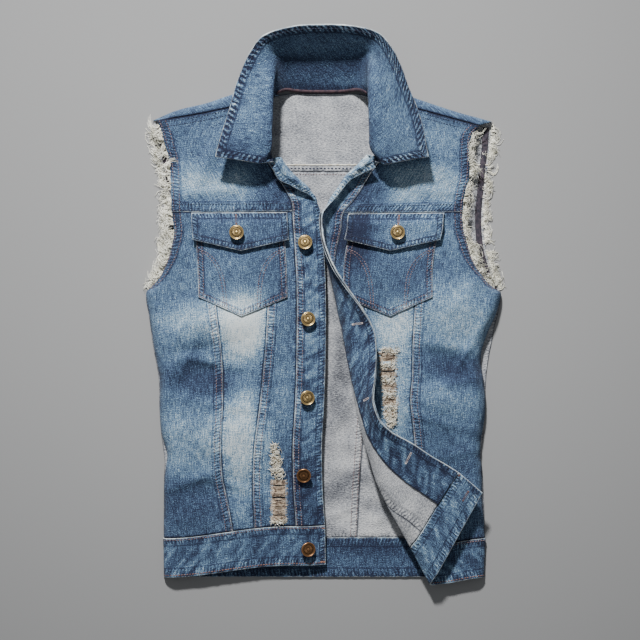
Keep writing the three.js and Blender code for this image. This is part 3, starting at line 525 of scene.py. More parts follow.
def mottle(piece, seed):
    """Short puckers all over a doubled band, which leave it streaked when it is washed."""
    broad = noise((piece.low + 0.5 * piece.near) / 5, piece.near / 11, seed)
    piece.rope += 0.8 * broad
    piece.height += 0.25 * smooth(piece.rim / 3) * broad


def rumple(piece, high, seed):
    """Loose unevenness of the cloth between its seams."""
    x, y = piece.base[..., 0], piece.base[..., 1]
    free = smooth((piece.rim - 4) / 16)
    piece.height += high * free * noise(x / 26 + 3, y / 20, seed)
    piece.height += 0.3 * high * free * noise(x / 9, y / 8 + 5, seed + 1)


# Making meshes

def to_mesh(name, points, faces, materials, face_material=None, attributes=None):
    """A mesh object in metres, in the frame, from points in millimetres."""
    mesh = bpy.data.meshes.new(name)
    points = (np.asarray(points, float) + SHIFT) * MM
    faces = np.asarray(faces)
    corners = faces.shape[1]
    mesh.vertices.add(len(points))
    mesh.vertices.foreach_set("co", points.astype(np.float32).ravel())
    mesh.loops.add(faces.size)
    mesh.loops.foreach_set("vertex_index", faces.astype(np.int32).ravel())
    mesh.polygons.add(len(faces))
    mesh.polygons.foreach_set("loop_start", np.arange(0, faces.size, corners, dtype=np.int32))
    if face_material is not None:
        mesh.polygons.foreach_set("material_index", np.asarray(face_material, np.int32))
    mesh.polygons.foreach_set("use_smooth", np.full(len(faces), True))
    for key, values in (attributes or {}).items():
        kind = "FLOAT_VECTOR" if np.ndim(values) == 2 else "FLOAT"
        made = mesh.attributes.new(key, kind, "POINT")
        field = "vector" if kind == "FLOAT_VECTOR" else "value"
        made.data.foreach_set(field, np.asarray(values, np.float32).ravel())
    mesh.update(calc_edges=True)
    mesh.validate()
    thing = bpy.data.objects.new(name, mesh)
    bpy.context.scene.collection.objects.link(thing)
    for material in materials:
        mesh.materials.append(material)
    return thing


def shell(name, piece, depth, materials, inner=None):
    """The closed mesh of a piece `depth` thick, with rounded rims and holes where it keeps no cells."""
    outer = piece.face()
    if inner is None:
        inner = outer - piece.normal * depth
    middle = (outer + inner) / 2
    full = np.sqrt(1 - (1 - np.clip(piece.rim / RIM, 0, 1)) ** 2)[..., None]
    outer = middle + (outer - middle) * full
    inner = middle + (inner - middle) * full
    rows, columns = piece.near.shape
    front = np.arange(rows * columns).reshape(rows, columns)
    back = front.copy()
    back[1:-1, 1:-1] = rows * columns + np.arange((rows - 2) * (columns - 2)).reshape(rows - 2, columns - 2)
    points = np.concatenate([outer.reshape(-1, 3), inner[1:-1, 1:-1].reshape(-1, 3)])

    def cells(index):
        quads = [index[:-1, :-1], index[:-1, 1:], index[1:, 1:], index[1:, :-1]]
        return np.stack(quads, -1)

    def turned(quads, flip):
        return quads[:, ::-1] if flip else quads

    keep = np.ones((rows - 1, columns - 1), bool) if piece.keep is None else piece.keep
    face_quads = turned(cells(front)[keep], piece.facing < 0)
    back_quads = turned(cells(back)[keep], piece.facing > 0)
    walls = hole_walls(keep, front, back, piece.facing < 0)
    faces = np.concatenate([face_quads, back_quads, walls])
    kinds = [0] * len(face_quads) + [1] * len(back_quads) + [2] * len(walls)
    cut = np.stack([piece.near, piece.low, np.full(piece.near.shape, float(len(name)))], -1)

    def both(values):
        width = values.shape[2:]
        return np.concatenate([values.reshape(-1, *width), values[1:-1, 1:-1].reshape(-1, *width)])

    attributes = {
        "cut": both(cut),
        "edge": both(np.stack([piece.run, piece.seam, piece.band], -1)),
        "rope": both(piece.rope),
        "fade": both(piece.fade),
    }
    return to_mesh(name, points, faces, materials, kinds, attributes)


def hole_walls(keep, front, back, flip):
    """Quads between the two faces along the edges of the cells that a piece doesn't keep."""
    walls = []
    beside = ((0, 1), (1, 1)), keep[:, :-1], keep[:, 1:]
    above = ((1, 1), (1, 0)), keep[:-1, :], keep[1:, :]
    for (start, end), first, second in (beside, above):
        for mask, turned in ((first & ~second, False), (~first & second, True)):
            j, i = np.nonzero(mask)
            ends = ((j + start[0], i + start[1]), (j + end[0], i + end[1]))
            walls.append(wall_quads(front, back, ends, turned != flip))
    return np.concatenate(walls)


def wall_quads(front, back, ends, flip):
    (a, b), (c, d) = ends
    quads = np.stack([front[a, b], back[a, b], back[c, d], front[c, d]], -1).reshape(-1, 4)
    return quads[:, ::-1] if flip else quads


def finish_piece(thing, node):
    """Puts a cloth piece in its node's place and hides the node's solid."""
    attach(thing, "root")
    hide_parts(node)


SHIFT = np.zeros(3)
SHIFT[:] = np.array(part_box("back_waistband")[0]) / MM - np.array([BACK_HEM_X, HEM_Y, 0])


# Settings that a user would change

class VestSizes(bpy.types.PropertyGroup):
    """Sizes of what lies on the cloth."""

    grid: bpy.props.FloatProperty(
        name="Grid", description="Distance between the points of a cloth piece, in millimetres", default=2.0
    )
    back_grid: bpy.props.FloatProperty(
        name="Back grid", description="The same distance on the pieces of the back", default=3.0
    )
    stitch: bpy.props.FloatProperty(
        name="Stitch length", description="Length of one stitch, in millimetres", default=2.7
    )
    thread: bpy.props.FloatProperty(
        name="Thread", description="Width of the sewing thread, in millimetres", default=1.05
    )


class VestColours(bpy.types.PropertyGroup):
    """Colours of the cloth, thread and metal."""

    deep: bpy.props.FloatVectorProperty(
        name="Unworn indigo", description="Where the cloth is least washed",
        subtype="COLOR", size=3, default=(0.017, 0.022, 0.05),
    )
    dark: bpy.props.FloatVectorProperty(
        name="Dark indigo", description="In the hollows beside the seams",
        subtype="COLOR", size=3, default=(0.046, 0.074, 0.142),
    )
    mid: bpy.props.FloatVectorProperty(
        name="Washed indigo", description="The cloth's middle tone",
        subtype="COLOR", size=3, default=(0.113, 0.193, 0.315),
    )
    pale: bpy.props.FloatVectorProperty(
        name="Faded indigo", description="In the middle of the panels",
        subtype="COLOR", size=3, default=(0.275, 0.44, 0.58),
    )
    bare: bpy.props.FloatVectorProperty(
        name="Bare cotton", description="On rubbed edges and the reverse of the cloth",
        subtype="COLOR", size=3, default=(0.8, 0.87, 0.87),
    )
    brass: bpy.props.FloatVectorProperty(
        name="Brass", description="The buttons where they are rubbed bright",
        subtype="COLOR", size=3, default=(0.83, 0.6, 0.26),
    )
    bronze: bpy.props.FloatVectorProperty(
        name="Bronze", description="The darker buttons where they are rubbed bright",
        subtype="COLOR", size=3, default=(0.5, 0.25, 0.11),
    )
    tarnish: bpy.props.FloatVectorProperty(
        name="Tarnish", description="The buttons in their hollows",
        subtype="COLOR", size=3, default=(0.035, 0.02, 0.01),
    )


# The pieces that lines are read from, and the materials, by name.
MADE = {}
FINISH = {}


def settings():
    return bpy.context.scene.vest_sizes, bpy.context.scene.vest_colours


def grid_step():
    return settings()[0].grid


# Pieces of the fronts

def front_piece(front, u_from, u_to, v_from, v_to, out=0.0, facing=None):
    """A grid over a front between two edges given as functions of height, standing `out` of its surface."""
    t = levels(v_to - v_from, grid_step())
    v = lerp(v_from, v_to, t)[:, None]
    low, high = u_from(v), u_to(v)
    s = levels(float(np.max(high - low)), grid_step())
    u = lerp(low, high, s[None, :])
    piece = Piece(s, t, lay(front, u, v), facing or front.dir)
    piece.height += out
    piece.u, piece.v = u, np.broadcast_to(v, u.shape)
    piece.lying = smooth((piece.u - front.opening(piece.v).roll) / 12)
    return piece


def at_u(value):
    return lambda v: np.full_like(v, value)


def seam_u(seam, gap):
    return lambda v: seam(v).u + gap


BODY = (BAND_TOP + HALF_GAP, YOKE_SEAM - HALF_GAP)


def centre_panel(front):
    piece = front_piece(front, at_u(PLACKET_WIDTH + HALF_GAP), seam_u(inner_seam, -HALF_GAP), *BODY)
    sew(piece, 11, {"near": "plain", "far": "fell", "low": "plain", "high": "plain"})
    rumple(piece, 0.6, 15)
    return piece


def middle_panel(front):
    piece = front_piece(front, seam_u(inner_seam, HALF_GAP), seam_u(outer_seam, -HALF_GAP), *BODY)
    sew(piece, 21, {"near": "plain", "far": "plain", "low": "plain", "high": "plain"})
    rumple(piece, 0.6, 25)
    return piece


ARMHOLE_HEM = 13


def armhole_hem(piece, share):
    """The turned and less washed hem along a piece's armhole edge, by its share of being there."""
    inside = smooth((ARMHOLE_HEM + 1 - piece.far) / 2) * share
    piece.fade -= 0.16 * inside
    piece.height += 0.4 * inside
    piece.band = np.where((piece.seam == piece.far) & (share > 0.5), ARMHOLE_HEM, piece.band)


def side_panel(front):
    piece = front_piece(front, seam_u(outer_seam, HALF_GAP), lambda v: side_seam(front, v), *BODY)
    sew(piece, 31, {"near": "fell", "far": "plain", "low": "plain", "high": "plain"})
    armhole_hem(piece, smooth((piece.v - UNDERARM - 2) / 6))
    rumple(piece, 0.8, 35)
    return piece


# Painted light that brightens each placket where it turns over as a lapel below the collar.
LAPEL_PAINTED_LIGHT = 0.24


def placket(front):
    v_range = (BAND_TOP + HALF_GAP, NECK_CORNER)
    piece = front_piece(front, at_u(0.0), at_u(PLACKET_WIDTH - HALF_GAP), *v_range, out=PLACKET_PROUD)
    sew_edge(piece, "near", "hem", 41, width=8)
    sew_edge(piece, "far", "fell", 42, width=9, rise=0.2)
    sew_edge(piece, "low", "plain", 43)
    mottle(piece, 44)
    piece.fade += LAPEL_PAINTED_LIGHT * smooth((piece.v - 480) / 20)
    rumple(piece, 0.4, 45)
    return piece


def facing(front):
    """The strip behind the left placket, whose seen side is the one towards the body."""
    behind = PLACKET_CLOTH - PLACKET_PROUD + LAYER_GAP + FACING_CLOTH
    piece = front_piece(front, at_u(0.0), at_u(FACING_WIDTH), *BODY, out=behind, facing=-front.dir)
    sew_edge(piece, "near", "hem", 51, width=8, rise=0.2)
    sew_edge(piece, "far", "plain", 52)
    mottle(piece, 54)
    rumple(piece, 0.3, 55)
    return piece


def waistband(front):
    v_range = (0, BAND_TOP - 2 * SEAM_GAP)
    piece = front_piece(front, at_u(0.0), lambda v: side_seam(front, v), *v_range, out=BAND_PROUD)
    sew_edge(piece, "low", "hem", 61, skew=0.9, rise=0.35)
    sew_edge(piece, "high", "hem", 62, width=9, skew=-0.5, rise=0.25)
    sew_edge(piece, "near", "hem", 63, width=7)
    piece.rope += 0.5 * noise((piece.near + 0.8 * piece.low) / 6, piece.low / 14, 64)
    rumple(piece, 0.4, 65)
    return piece


NECK_RUN = 60


def front_yoke(front):
    """A patch between the yoke seam, the shoulder seam, the armhole, and the placket and neckline."""
    low, top = YOKE_SEAM + HALF_GAP, NECK_CORNER + NECK_RUN
    t = levels(top - low, grid_step())
    v = lerp(low, top, t)
    span = float(side_seam(front, np.array([low]))[0])
    s = levels(span - PLACKET_WIDTH, grid_step())
    u = lerp(PLACKET_WIDTH + HALF_GAP, span, s)

    def differ(points):
        over = front_face(front, points[:, 0], points[:, 1])
        return np.column_stack([points[:, :2], points[:, 2] - over])

    def level(x, y):
        return np.column_stack([x, y, 0 * x])

    placket_edge = lay(front, PLACKET_WIDTH + HALF_GAP, np.minimum(v, NECK_CORNER))
    neck = np.array([placket_edge[-1, :2], *front.neckline])
    neckline = curve(np.linspace(0, 1, len(neck)), neck, (v - NECK_CORNER) / NECK_RUN)
    below = (v <= NECK_CORNER)[:, None]
    inner = np.where(below, differ(placket_edge), level(neckline[:, 0], neckline[:, 1]))
    arm_v = lerp(low, front.shoulder, t)
    outer = differ(np.column_stack([front.side(arm_v).x, arm_v + HEM_Y, footing(arm_v).high]))
    bottom = differ(lay(front, u, low))
    upper = level(*shoulder_seam(front, s))
    f, up = s[None, :, None], t[:, None, None]
    sides = lerp(inner[:, None], outer[:, None], f)
    ends = lerp(bottom[None], upper[None], up)
    corners = lerp(lerp(inner[0], outer[0], f), lerp(inner[-1], outer[-1], f), up)
    points = sides + ends - corners
    points[..., 2] += front_face(front, points[..., 0], points[..., 1])
    piece = Piece(s, t, points, front.dir)
    piece.lying = np.ones(piece.near.shape)
    sew_edge(piece, "low", "fell", 71, width=12)
    sew_edge(piece, "high", "plain", 72, rise=0.4)
    sew_edge(piece, "far", "hem", 73, width=12, rise=0.2)
    sew_edge(piece, "near", "plain", 74)
    armhole_hem(piece, np.ones(piece.far.shape))
    rumple(piece, 0.8, 75)
    return piece


# Patch pocket with a pointed foot, and its flap with a pointed edge.
POCKET = SimpleNamespace(inner=50, outer=166, top=456, corner=366, tip=341, tip_at=110, swell=3, swell_to=0.8)
FLAP = SimpleNamespace(
    inner=45, outer=170, top=476, corner=440.5, tip=426, tip_at=108, stand=4.4, stand_by=0.35, swell=1.2
)


def pointed(cut, s, t):
    """u and v over a patch with a pointed lower edge."""
    u = np.where(s < 0.5, lerp(cut.inner, cut.tip_at, 2 * s), lerp(cut.tip_at, cut.outer, 2 * s - 1))
    to_tip = np.where(s < 0.5, 2 * s, 2 - 2 * s)
    return u, lerp(lerp(cut.corner, cut.tip, to_tip), cut.top, t)


def pointed_piece(front, cut, out):
    s = levels(cut.outer - cut.inner, grid_step())[None, :]
    t = levels(cut.top - cut.tip, grid_step())[:, None]
    piece = Piece(s[0], t[:, 0], lay(front, *pointed(cut, s, t)), front.dir)
    piece.height += out(s, t)
    piece.lying = np.ones(piece.near.shape)
    return piece


def pocket(front):
    def out(s, t):
        swelling = np.sin(math.pi * s) * np.sin(math.pi * np.minimum(t, POCKET.swell_to))
        return LAYER_GAP + POCKET_CLOTH + POCKET.swell * swelling

    piece = pointed_piece(front, POCKET, out)
    sew(piece, 81, {"near": "hem", "far": "hem", "low": "hem"}, width=8, rise=0.25)
    rumple(piece, 0.6, 85)
    return piece


def flap(front):
    def out(s, t):
        standing = FLAP.stand * smooth((1 - t) / FLAP.stand_by)
        return LAYER_GAP + FLAP_CLOTH + standing + FLAP.swell * np.sin(math.pi * s) * (1 - t)

    piece = pointed_piece(front, FLAP, out)
    sew(piece, 91, {"near": "hem", "far": "hem", "low": "hem", "high": "hem"}, width=7, rise=0.25)
    rumple(piece, 0.5, 95)
    return piece


# Pieces of the back

back_side = {
    "right": table(
        ["v", "x"],
        [[0, -209], [52, -209.5], [130, -209], [150, -208], [168, -210], [190, -213], [220, -215],
         [260, -216], [300, -223], [340, -228.5], [UNDERARM, -232.5], [384, -224], [400, -215], [425, -209],
         [451, -205], [477, -205], [503, -207], [531, -211], [555, -216], [590, -222]],
    ),
    "left": table(
        ["v", "x"],
        [[0, 210], [52, 211.5], [130, 209], [160, 207], [190, 210], [220, 212], [260, 213], [290, 217],
         [310, 221], [330, 225], [345, 229], [UNDERARM, 232.5], [384, 227], [400, 221.5], [425, 214],
         [451, 210.5], [477, 210], [503, 212.5], [531, 215], [555, 218], [590, 220.5]],
    ),
}
back_seam = table(["v", "x"], [[BAND_TOP, 44], [130, 48], [250, 58], [400, 80], [BACK_YOKE_SEAM, 98]])


def back_right(v):
    return back_side["right"](v).x


def back_left(v):
    return back_side["left"](v).x


def seam_right(v):
    return -back_seam(v).x


def seam_left(v):
    return back_seam(v).x


def back_piece(x_from, x_to, v_from, v_to):
    """A piece of the back between two edges, with its outer face flat on the surface."""
    step = settings()[0].back_grid
    t = levels(v_to - v_from, step)
    v = lerp(v_from, v_to, t)[:, None]
    s = levels(float(np.max(x_to(v) - x_from(v))), step)
    x = lerp(x_from(v), x_to(v), s[None, :])
    return Piece(s, t, np.stack([x, v + HEM_Y + 0 * x, 0 * x], -1), -1)


def back_body(x_from, x_to, seed):
    piece = back_piece(
        lambda v: x_from(v) + HALF_GAP, lambda v: x_to(v) - HALF_GAP, BAND_TOP + HALF_GAP,
        BACK_YOKE_SEAM - HALF_GAP,
    )
    side = "fell" if x_from is seam_right else "plain"
    sew(piece, seed, {"near": side, "far": side, "high": "plain", "low": "plain"})
    rumple(piece, 0.7, seed + 4)
    return piece


def back_shell(name, node, piece, depth, materials):
    """A back piece that is uneven on the side towards the body only, with painted light and shade of the
    folds there. That side is kept for lines.
    """
    x, y = piece.base[..., 0], piece.base[..., 1]
    relief = piece.height + smooth(piece.rim / 8) * np.maximum(swell(BACK_CREASES, x, y), -0.4)
    piece.fade += patches(BACK_PAINTED_LIGHT, x, y)
    piece.height = np.zeros(relief.shape)
    inner = piece.base - piece.normal * (depth + relief)[..., None]
    thing = shell(name, piece, depth, materials, inner)
    finish_piece(thing, node)
    MADE[node + ".inside"] = inside_of(piece, inner)
    return thing


# Folds on the inner side of the back, and where painted light and shade of those folds make it lighter or
# darker.
BACK_CREASES = [
    (62, -184, -8, 50, 9, 1.6),
    (62, -222, -14, 50, 7, 1.6),
    (40, -262, 24, 40, 6, 1.1),
    (100, -256, 40, 36, 6, 1.6),
    (30, -130, 60, 50, 7, 1.0),
    (70, -300, -6, 50, 6, 1.0),
    (20, -50, 80, 50, 6, 0.8),
    (110, -290, -60, 30, 6, 1.0),
]
BACK_PAINTED_LIGHT = [
    (56, -190, 0, 44, 20, 0.2),
    (60, -284, -8, 48, 16, 0.22),
    (28, -232, 24, 40, 14, -0.32),
    (110, -246, 40, 34, 14, -0.3),
    (22, -100, 80, 60, 14, -0.24),
    (24, -26, 86, 50, 10, -0.16),
    (60, -318, -4, 60, 10, -0.14),
]


def inside_of(piece, inner=None, depth=None):
    """The same piece seen from its other side, for what is sewn there."""
    if inner is None:
        inner = piece.face() - piece.normal * depth
    other = Piece(piece.s, piece.t, inner, -piece.facing)
    return other


# The back yoke: from its seam to the shoulders, where it rolls over and forward to the front yokes. Between
# the shoulders it ends at the neck seam. low is on the yoke seam, rim on its far edge, and the roll reaches
# `over` past the rim.
yoke_column = table(
    ["s", "low_x", "top_x", "rim_x", "over"],
    [[0, -211, -223, -216.5, 2],
     [1, -165, -186, -185, 10],
     [2, -125, -154, -153, 12],
     [3, -92, -118, -117, 16],
     [4, -72, -85, -80, 14],
     [5, -60, -64, -63, 4],
     [6, -38, -42, -42, 0],
     [7, -1, -1, -1, 0],
     [8, 36, 40, 40, 0],
     [9, 56, 60, 59, 4],
     [10, 70, 79, 75, 14],
     [11, 95, 111, 111, 14],
     [12, 130, 150, 149, 11],
     [13, 170, 184, 181, 9],
     [14, 215, 220.5, 203.5, 6]],
)
YOKE_SECTIONS = 14
YOKE_KEYS = [0, 0.55, 0.7, 0.8, 0.9, 1]
NECK_Y = 279.5
NECK_RISE = 1.2
SHOULDER_GAP = 1
SHOULDER_FROM = 0.55
FULL_ROLL = 8


def yoke_rim(x):
    """The back yoke's far edge at x: along the shoulder seams and round the back of the neck."""
    found = []
    for front in FRONTS:
        neck_x, neck_y = front.neckline[-1]
        arm_x = float(front.side(front.shoulder).x)
        seam_x, seam_y = shoulder_seam(front, np.clip((x - neck_x) / (arm_x - neck_x), 0, 1))
        on_seam = smooth((np.abs(x / neck_x) - SHOULDER_FROM) / (1 - SHOULDER_FROM))
        y = np.where(np.abs(x) > abs(neck_x), seam_y, neck_y)
        high = front_face(front, seam_x, seam_y)
        found.append(
            np.stack([x, lerp(NECK_Y, y + SHOULDER_GAP, on_seam), lerp(NECK_RISE, high, on_seam)], -1)
        )
    return np.where((x < 0)[:, None], found[0], found[1])


def back_yoke():
    low = BACK_YOKE_SEAM + HALF_GAP + HEM_Y
    s = levels(440, grid_step())
    t = levels(105, grid_step())
    column = yoke_column(s * YOKE_SECTIONS)
    rim = yoke_rim(column.rim_x)
    rolled = np.clip(column.over / FULL_ROLL, 0, 1)
    top_y = rim[:, 1] + column.over
    high = rim[:, 2]
    over_y = lerp(top_y, rim[:, 1], 0.35) - lerp(1, 0, rolled)
    stations = [
        (column.low_x, low + 0 * s, 0 * s),
        (lerp(column.low_x, column.top_x, 0.85), lerp(low, top_y, 0.85), 0 * s),
        (lerp(column.low_x, column.top_x, 0.93), top_y - lerp(4, 7, rolled), 0 * s),
        (column.top_x, top_y - lerp(2, 0, rolled), lerp(0.3, high * 0.5, rolled)),
        (lerp(column.top_x, column.rim_x, 0.35), over_y, lerp(0.8, high * 0.95, rolled)),
        (column.rim_x, rim[:, 1], high),
    ]
    control = np.stack([np.stack(p, -1) for p in stations], 1)
    points = np.stack([curve(YOKE_KEYS, control.transpose(1, 0, 2).reshape(6, -1), f) for f in t])
    points = points.reshape(len(t), len(s), 3)
    points[..., 2] = np.maximum(points[..., 2], 0)
    piece = Piece(s, t, points, -1)
    off = piece.low
    piece.seam = np.minimum(piece.seam, np.minimum(off, piece.high))
    inside = np.zeros(off.shape)
    ridges = wrinkle(piece.near, off, 6, 14, 0.3, 101) * bell(off, 12)
    inside += 0.35 * ridges + FELL_RISE * smooth((12 - off) / FELL_SLOPE)
    inside += 0.5 * smooth((piece.rim - 4) / 12) * noise(points[..., 0] / 24, points[..., 1] / 18, 102)
    piece.rope += ridges
    return piece, inside


# The collar, one section to a row from the right front's neck corner round the back to the left front's.
collar_section = table(
    ["s", "neck_x", "neck_y", "neck_z", "roll_x", "roll_y", "roll_z", "edge_x", "edge_y", "edge_z"],
    [[0, -65, 186, 31, -84, 185, 36, -140, 193, 37],
     [1, -71, 203, 23, -71, 203, 39, -136, 209, 38],
     [2, -77.5, 222, 15, -69, 227, 41, -129, 232, 36],
     [3, -75.5, 246, 14.5, -68, 252, 41, -121, 257, 35],
     [4, -71.5, 270, 16.8, -67, 278, 40, -114, 283, 36],
     [5, -61, 277.5, 13.5, -66, 298, 37, -106, 305, 39],
     [6, -51, 281.5, 7, -64, 318, 30, -94, 330, 45],
     [7, -39, 281.5, 2, -55, 326, 24, -76, 350, 50],
     [8, -22, 279.8, 1.6, -27, 324, 20, -38, 361, 52],
     [9, -1, 279.6, 1.6, -1, 323, 19, -1, 363, 53],
     [10, 20, 279.8, 1.6, 25, 324, 20, 36, 361.5, 52],
     [11, 36, 281.5, 2, 52, 327, 24, 70, 353, 50],
     [12, 47, 281.5, 7.5, 60, 318, 30, 89, 333, 46],
     [13, 57, 277.5, 13.8, 60, 298, 37, 101, 309, 40],
     [14, 66.5, 270, 16.8, 60, 276, 40, 110, 284, 37],
     [15, 69.5, 246, 14.5, 61, 252, 41, 121, 257, 35],
     [16, 71.5, 222, 15, 62, 226, 41, 129, 230, 36],
     [17, 69, 203, 23, 64, 204, 39, 133, 207, 38],
     [18, 67, 186, 31, 82, 184, 36, 136, 193, 37]],
)
COLLAR_SECTIONS = 18
COLLAR_KEYS = [0, 0.2, 0.36, 0.52, 1]
COLLAR_RISE_AT = 0.6
COLLAR_LEAF_AT = 0.3
COLLAR_LEAF_SWELL = 1.5


COLLAR_LONG = 560
COLLAR_DEEP = 112


def collar():
    s = levels(COLLAR_LONG, grid_step())
    t = levels(COLLAR_DEEP, grid_step())
    c = collar_section(s * COLLAR_SECTIONS)
    neck = np.stack([c.neck_x, c.neck_y, c.neck_z], -1)
    roll = np.stack([c.roll_x, c.roll_y, c.roll_z], -1)
    edge = np.stack([c.edge_x, c.edge_y, c.edge_z], -1)
    leaf = lerp(roll, edge, COLLAR_LEAF_AT) + [0, 0, COLLAR_LEAF_SWELL]
    control = np.stack([neck, lerp(neck, roll, COLLAR_RISE_AT), roll, leaf, edge])
    points = np.stack([curve(COLLAR_KEYS, control.reshape(5, -1), f) for f in t])
    piece = Piece(s, t, points.reshape(len(t), len(s), 3), 1)
    piece.height += COLLAR_CLOTH
    sew_edge(piece, "high", "hem", 111, width=11, skew=0.5, rise=0.5)
    sew(piece, 112, {"near": "hem", "far": "hem"}, width=10, skew=0.5, rise=0.4)
    sew_edge(piece, "low", "plain", 114)
    rumple(piece, 0.5, 115)
    piece.lying = np.ones(piece.near.shape)
    return piece


# Finishes

def set_inputs(tree, node, values):
    """Sets or links a node's inputs."""
    for key, value in values.items():
        if isinstance(value, bpy.types.NodeSocket):
            tree.links.new(value, node.inputs[key])
        else:
            node.inputs[key].default_value = value


def put(tree, kind, values=None, **options):
    """Adds a node, sets its options, and sets or links its inputs."""
    node = tree.nodes.new(kind)
    for key, value in options.items():
        setattr(node, key, value)
    set_inputs(tree, node, values or {})
    return node


def maths(tree, operation, a, b=0.0, clamped=False):
    node = put(tree, "ShaderNodeMath", {0: a, 1: b}, operation=operation, use_clamp=clamped)
    return node.outputs[0]


def times(tree, a, b, clamped=False):
    return maths(tree, "MULTIPLY", a, b, clamped)


def grain(tree, at, across, along, detail, rough):
    """Noise from 0 to 1 over the cut, with grains `across` by `along` millimetres."""
    scaled = put(tree, "ShaderNodeVectorMath", {0: at, 1: (1 / across, 1 / along, 1.0)}, operation="MULTIPLY")
    values = {"Vector": scaled.outputs[0], "Scale": 1.0, "Detail": detail, "Roughness": rough}
    return put(tree, "ShaderNodeTexNoise", values).outputs["Fac"]


def centred(tree, value, strength):
    """The value with its middle moved to 0, times a strength."""
    return times(tree, maths(tree, "SUBTRACT", value, 0.5), strength)


def total(tree, values):
    found = values[0]
    for value in values[1:]:
        found = maths(tree, "ADD", found, value)
    return found


def step_down(tree, value, low, high):
    """1 below `low`, 0 above `high`, and smooth between them."""
    values = {"Value": value, "From Min": low, "From Max": high, "To Min": 1.0, "To Max": 0.0}
    return put(tree, "ShaderNodeMapRange", values, interpolation_type="SMOOTHSTEP").outputs[0]


def ramp(tree, value, stops):
    node = put(tree, "ShaderNodeValToRGB", {"Fac": value})
    elements = node.color_ramp.elements
    while len(elements) < len(stops):
        elements.new(0.5)
    for element, (place, colour) in zip(elements, stops):
        element.position = place
        element.color = (*colour, 1)
    return node.outputs["Color"]


def blend_colour(tree, share, a, b):
    node = put(tree, "ShaderNodeMix", data_type="RGBA")
    for socket, value in ((node.inputs[0], share), (node.inputs[6], a), (node.inputs[7], b)):
        if isinstance(value, bpy.types.NodeSocket):
            tree.links.new(value, socket)
        elif isinstance(value, tuple):
            socket.default_value = (*value, 1)
        else:
            socket.default_value = value
    return node.outputs[2]


def group(name, inputs, outputs):
    """An empty shader group with its sockets, and its input and output nodes."""
    tree = bpy.data.node_groups.new(name, "ShaderNodeTree")
    for socket, kind, value in inputs:
        made = tree.interface.new_socket(socket, in_out="INPUT", socket_type=kind)
        if value is not None:
            made.default_value = value
    for socket, kind in outputs:
        tree.interface.new_socket(socket, in_out="OUTPUT", socket_type=kind)
    return tree, tree.nodes.new("NodeGroupInput").outputs, tree.nodes.new("NodeGroupOutput").inputs


CLOTH_INPUTS = [
    ("Cut", "NodeSocketVector", None),
    ("Edge", "NodeSocketVector", None),
    ("Rope", "NodeSocketFloat", 0.0),
    ("Fade", "NodeSocketFloat", 0.0),
    ("Tone", "NodeSocketFloat", 0.5),
    ("Roping", "NodeSocketFloat", 0.3),
    ("Ladder", "NodeSocketFloat", 0.3),
]
CLOTH_OUTPUTS = [("Color", "NodeSocketColor"), ("Height", "NodeSocketFloat")]
LADDER_PITCH = 4.4


# How far the bars stray from an even pitch, and how they lean away from the edge, in radians.
LADDER_WANDER = 11.0
LADDER_LEAN = 0.35


def ladder_of(tree, edge):
    """Bars across a sewn edge from -1 to 1, its distance, its band's width and how rubbed the band is."""
    parts = put(tree, "ShaderNodeSeparateXYZ", {0: edge}).outputs
    run, off, band = parts[0], parts[1], parts[2]
    uneven = grain(tree, edge, 7.0, 9.0, 2.0, 0.6)
    strong = grain(tree, edge, 23.0, 8.0, 1.0, 0.5)
    steps = times(tree, run, 2 * math.pi / LADDER_PITCH)
    wander = centred(tree, uneven, LADDER_WANDER)
    bars = maths(tree, "SINE", total(tree, [steps, wander, times(tree, off, LADDER_LEAN)]))
    rubbed = maths(tree, "MINIMUM", times(tree, band, 0.2), 1.0)
    reach = maths(tree, "MAXIMUM", band, 5.0)
    share = maths(tree, "DIVIDE", off, reach)
    past_rim = maths(tree, "SUBTRACT", 1.0, step_down(tree, off, 0.6, 2.0))
    window = times(tree, step_down(tree, share, 0.75, 1.15), past_rim)
    amount = times(tree, window, maths(tree, "ADD", 0.55, times(tree, rubbed, 0.45)))
    amount = times(tree, amount, times(tree, strong, 1.9))
    return times(tree, bars, amount), off, band, rubbed


DYED_STOPS = (0.0, 0.27, 0.5, 0.75, 1.0)
REVERSE_TONES = [
    (0.0, (0.08, 0.085, 0.1)),
    (0.35, (0.25, 0.26, 0.285)),
    (0.65, (0.45, 0.46, 0.48)),
    (1.0, (0.72, 0.72, 0.71)),
]


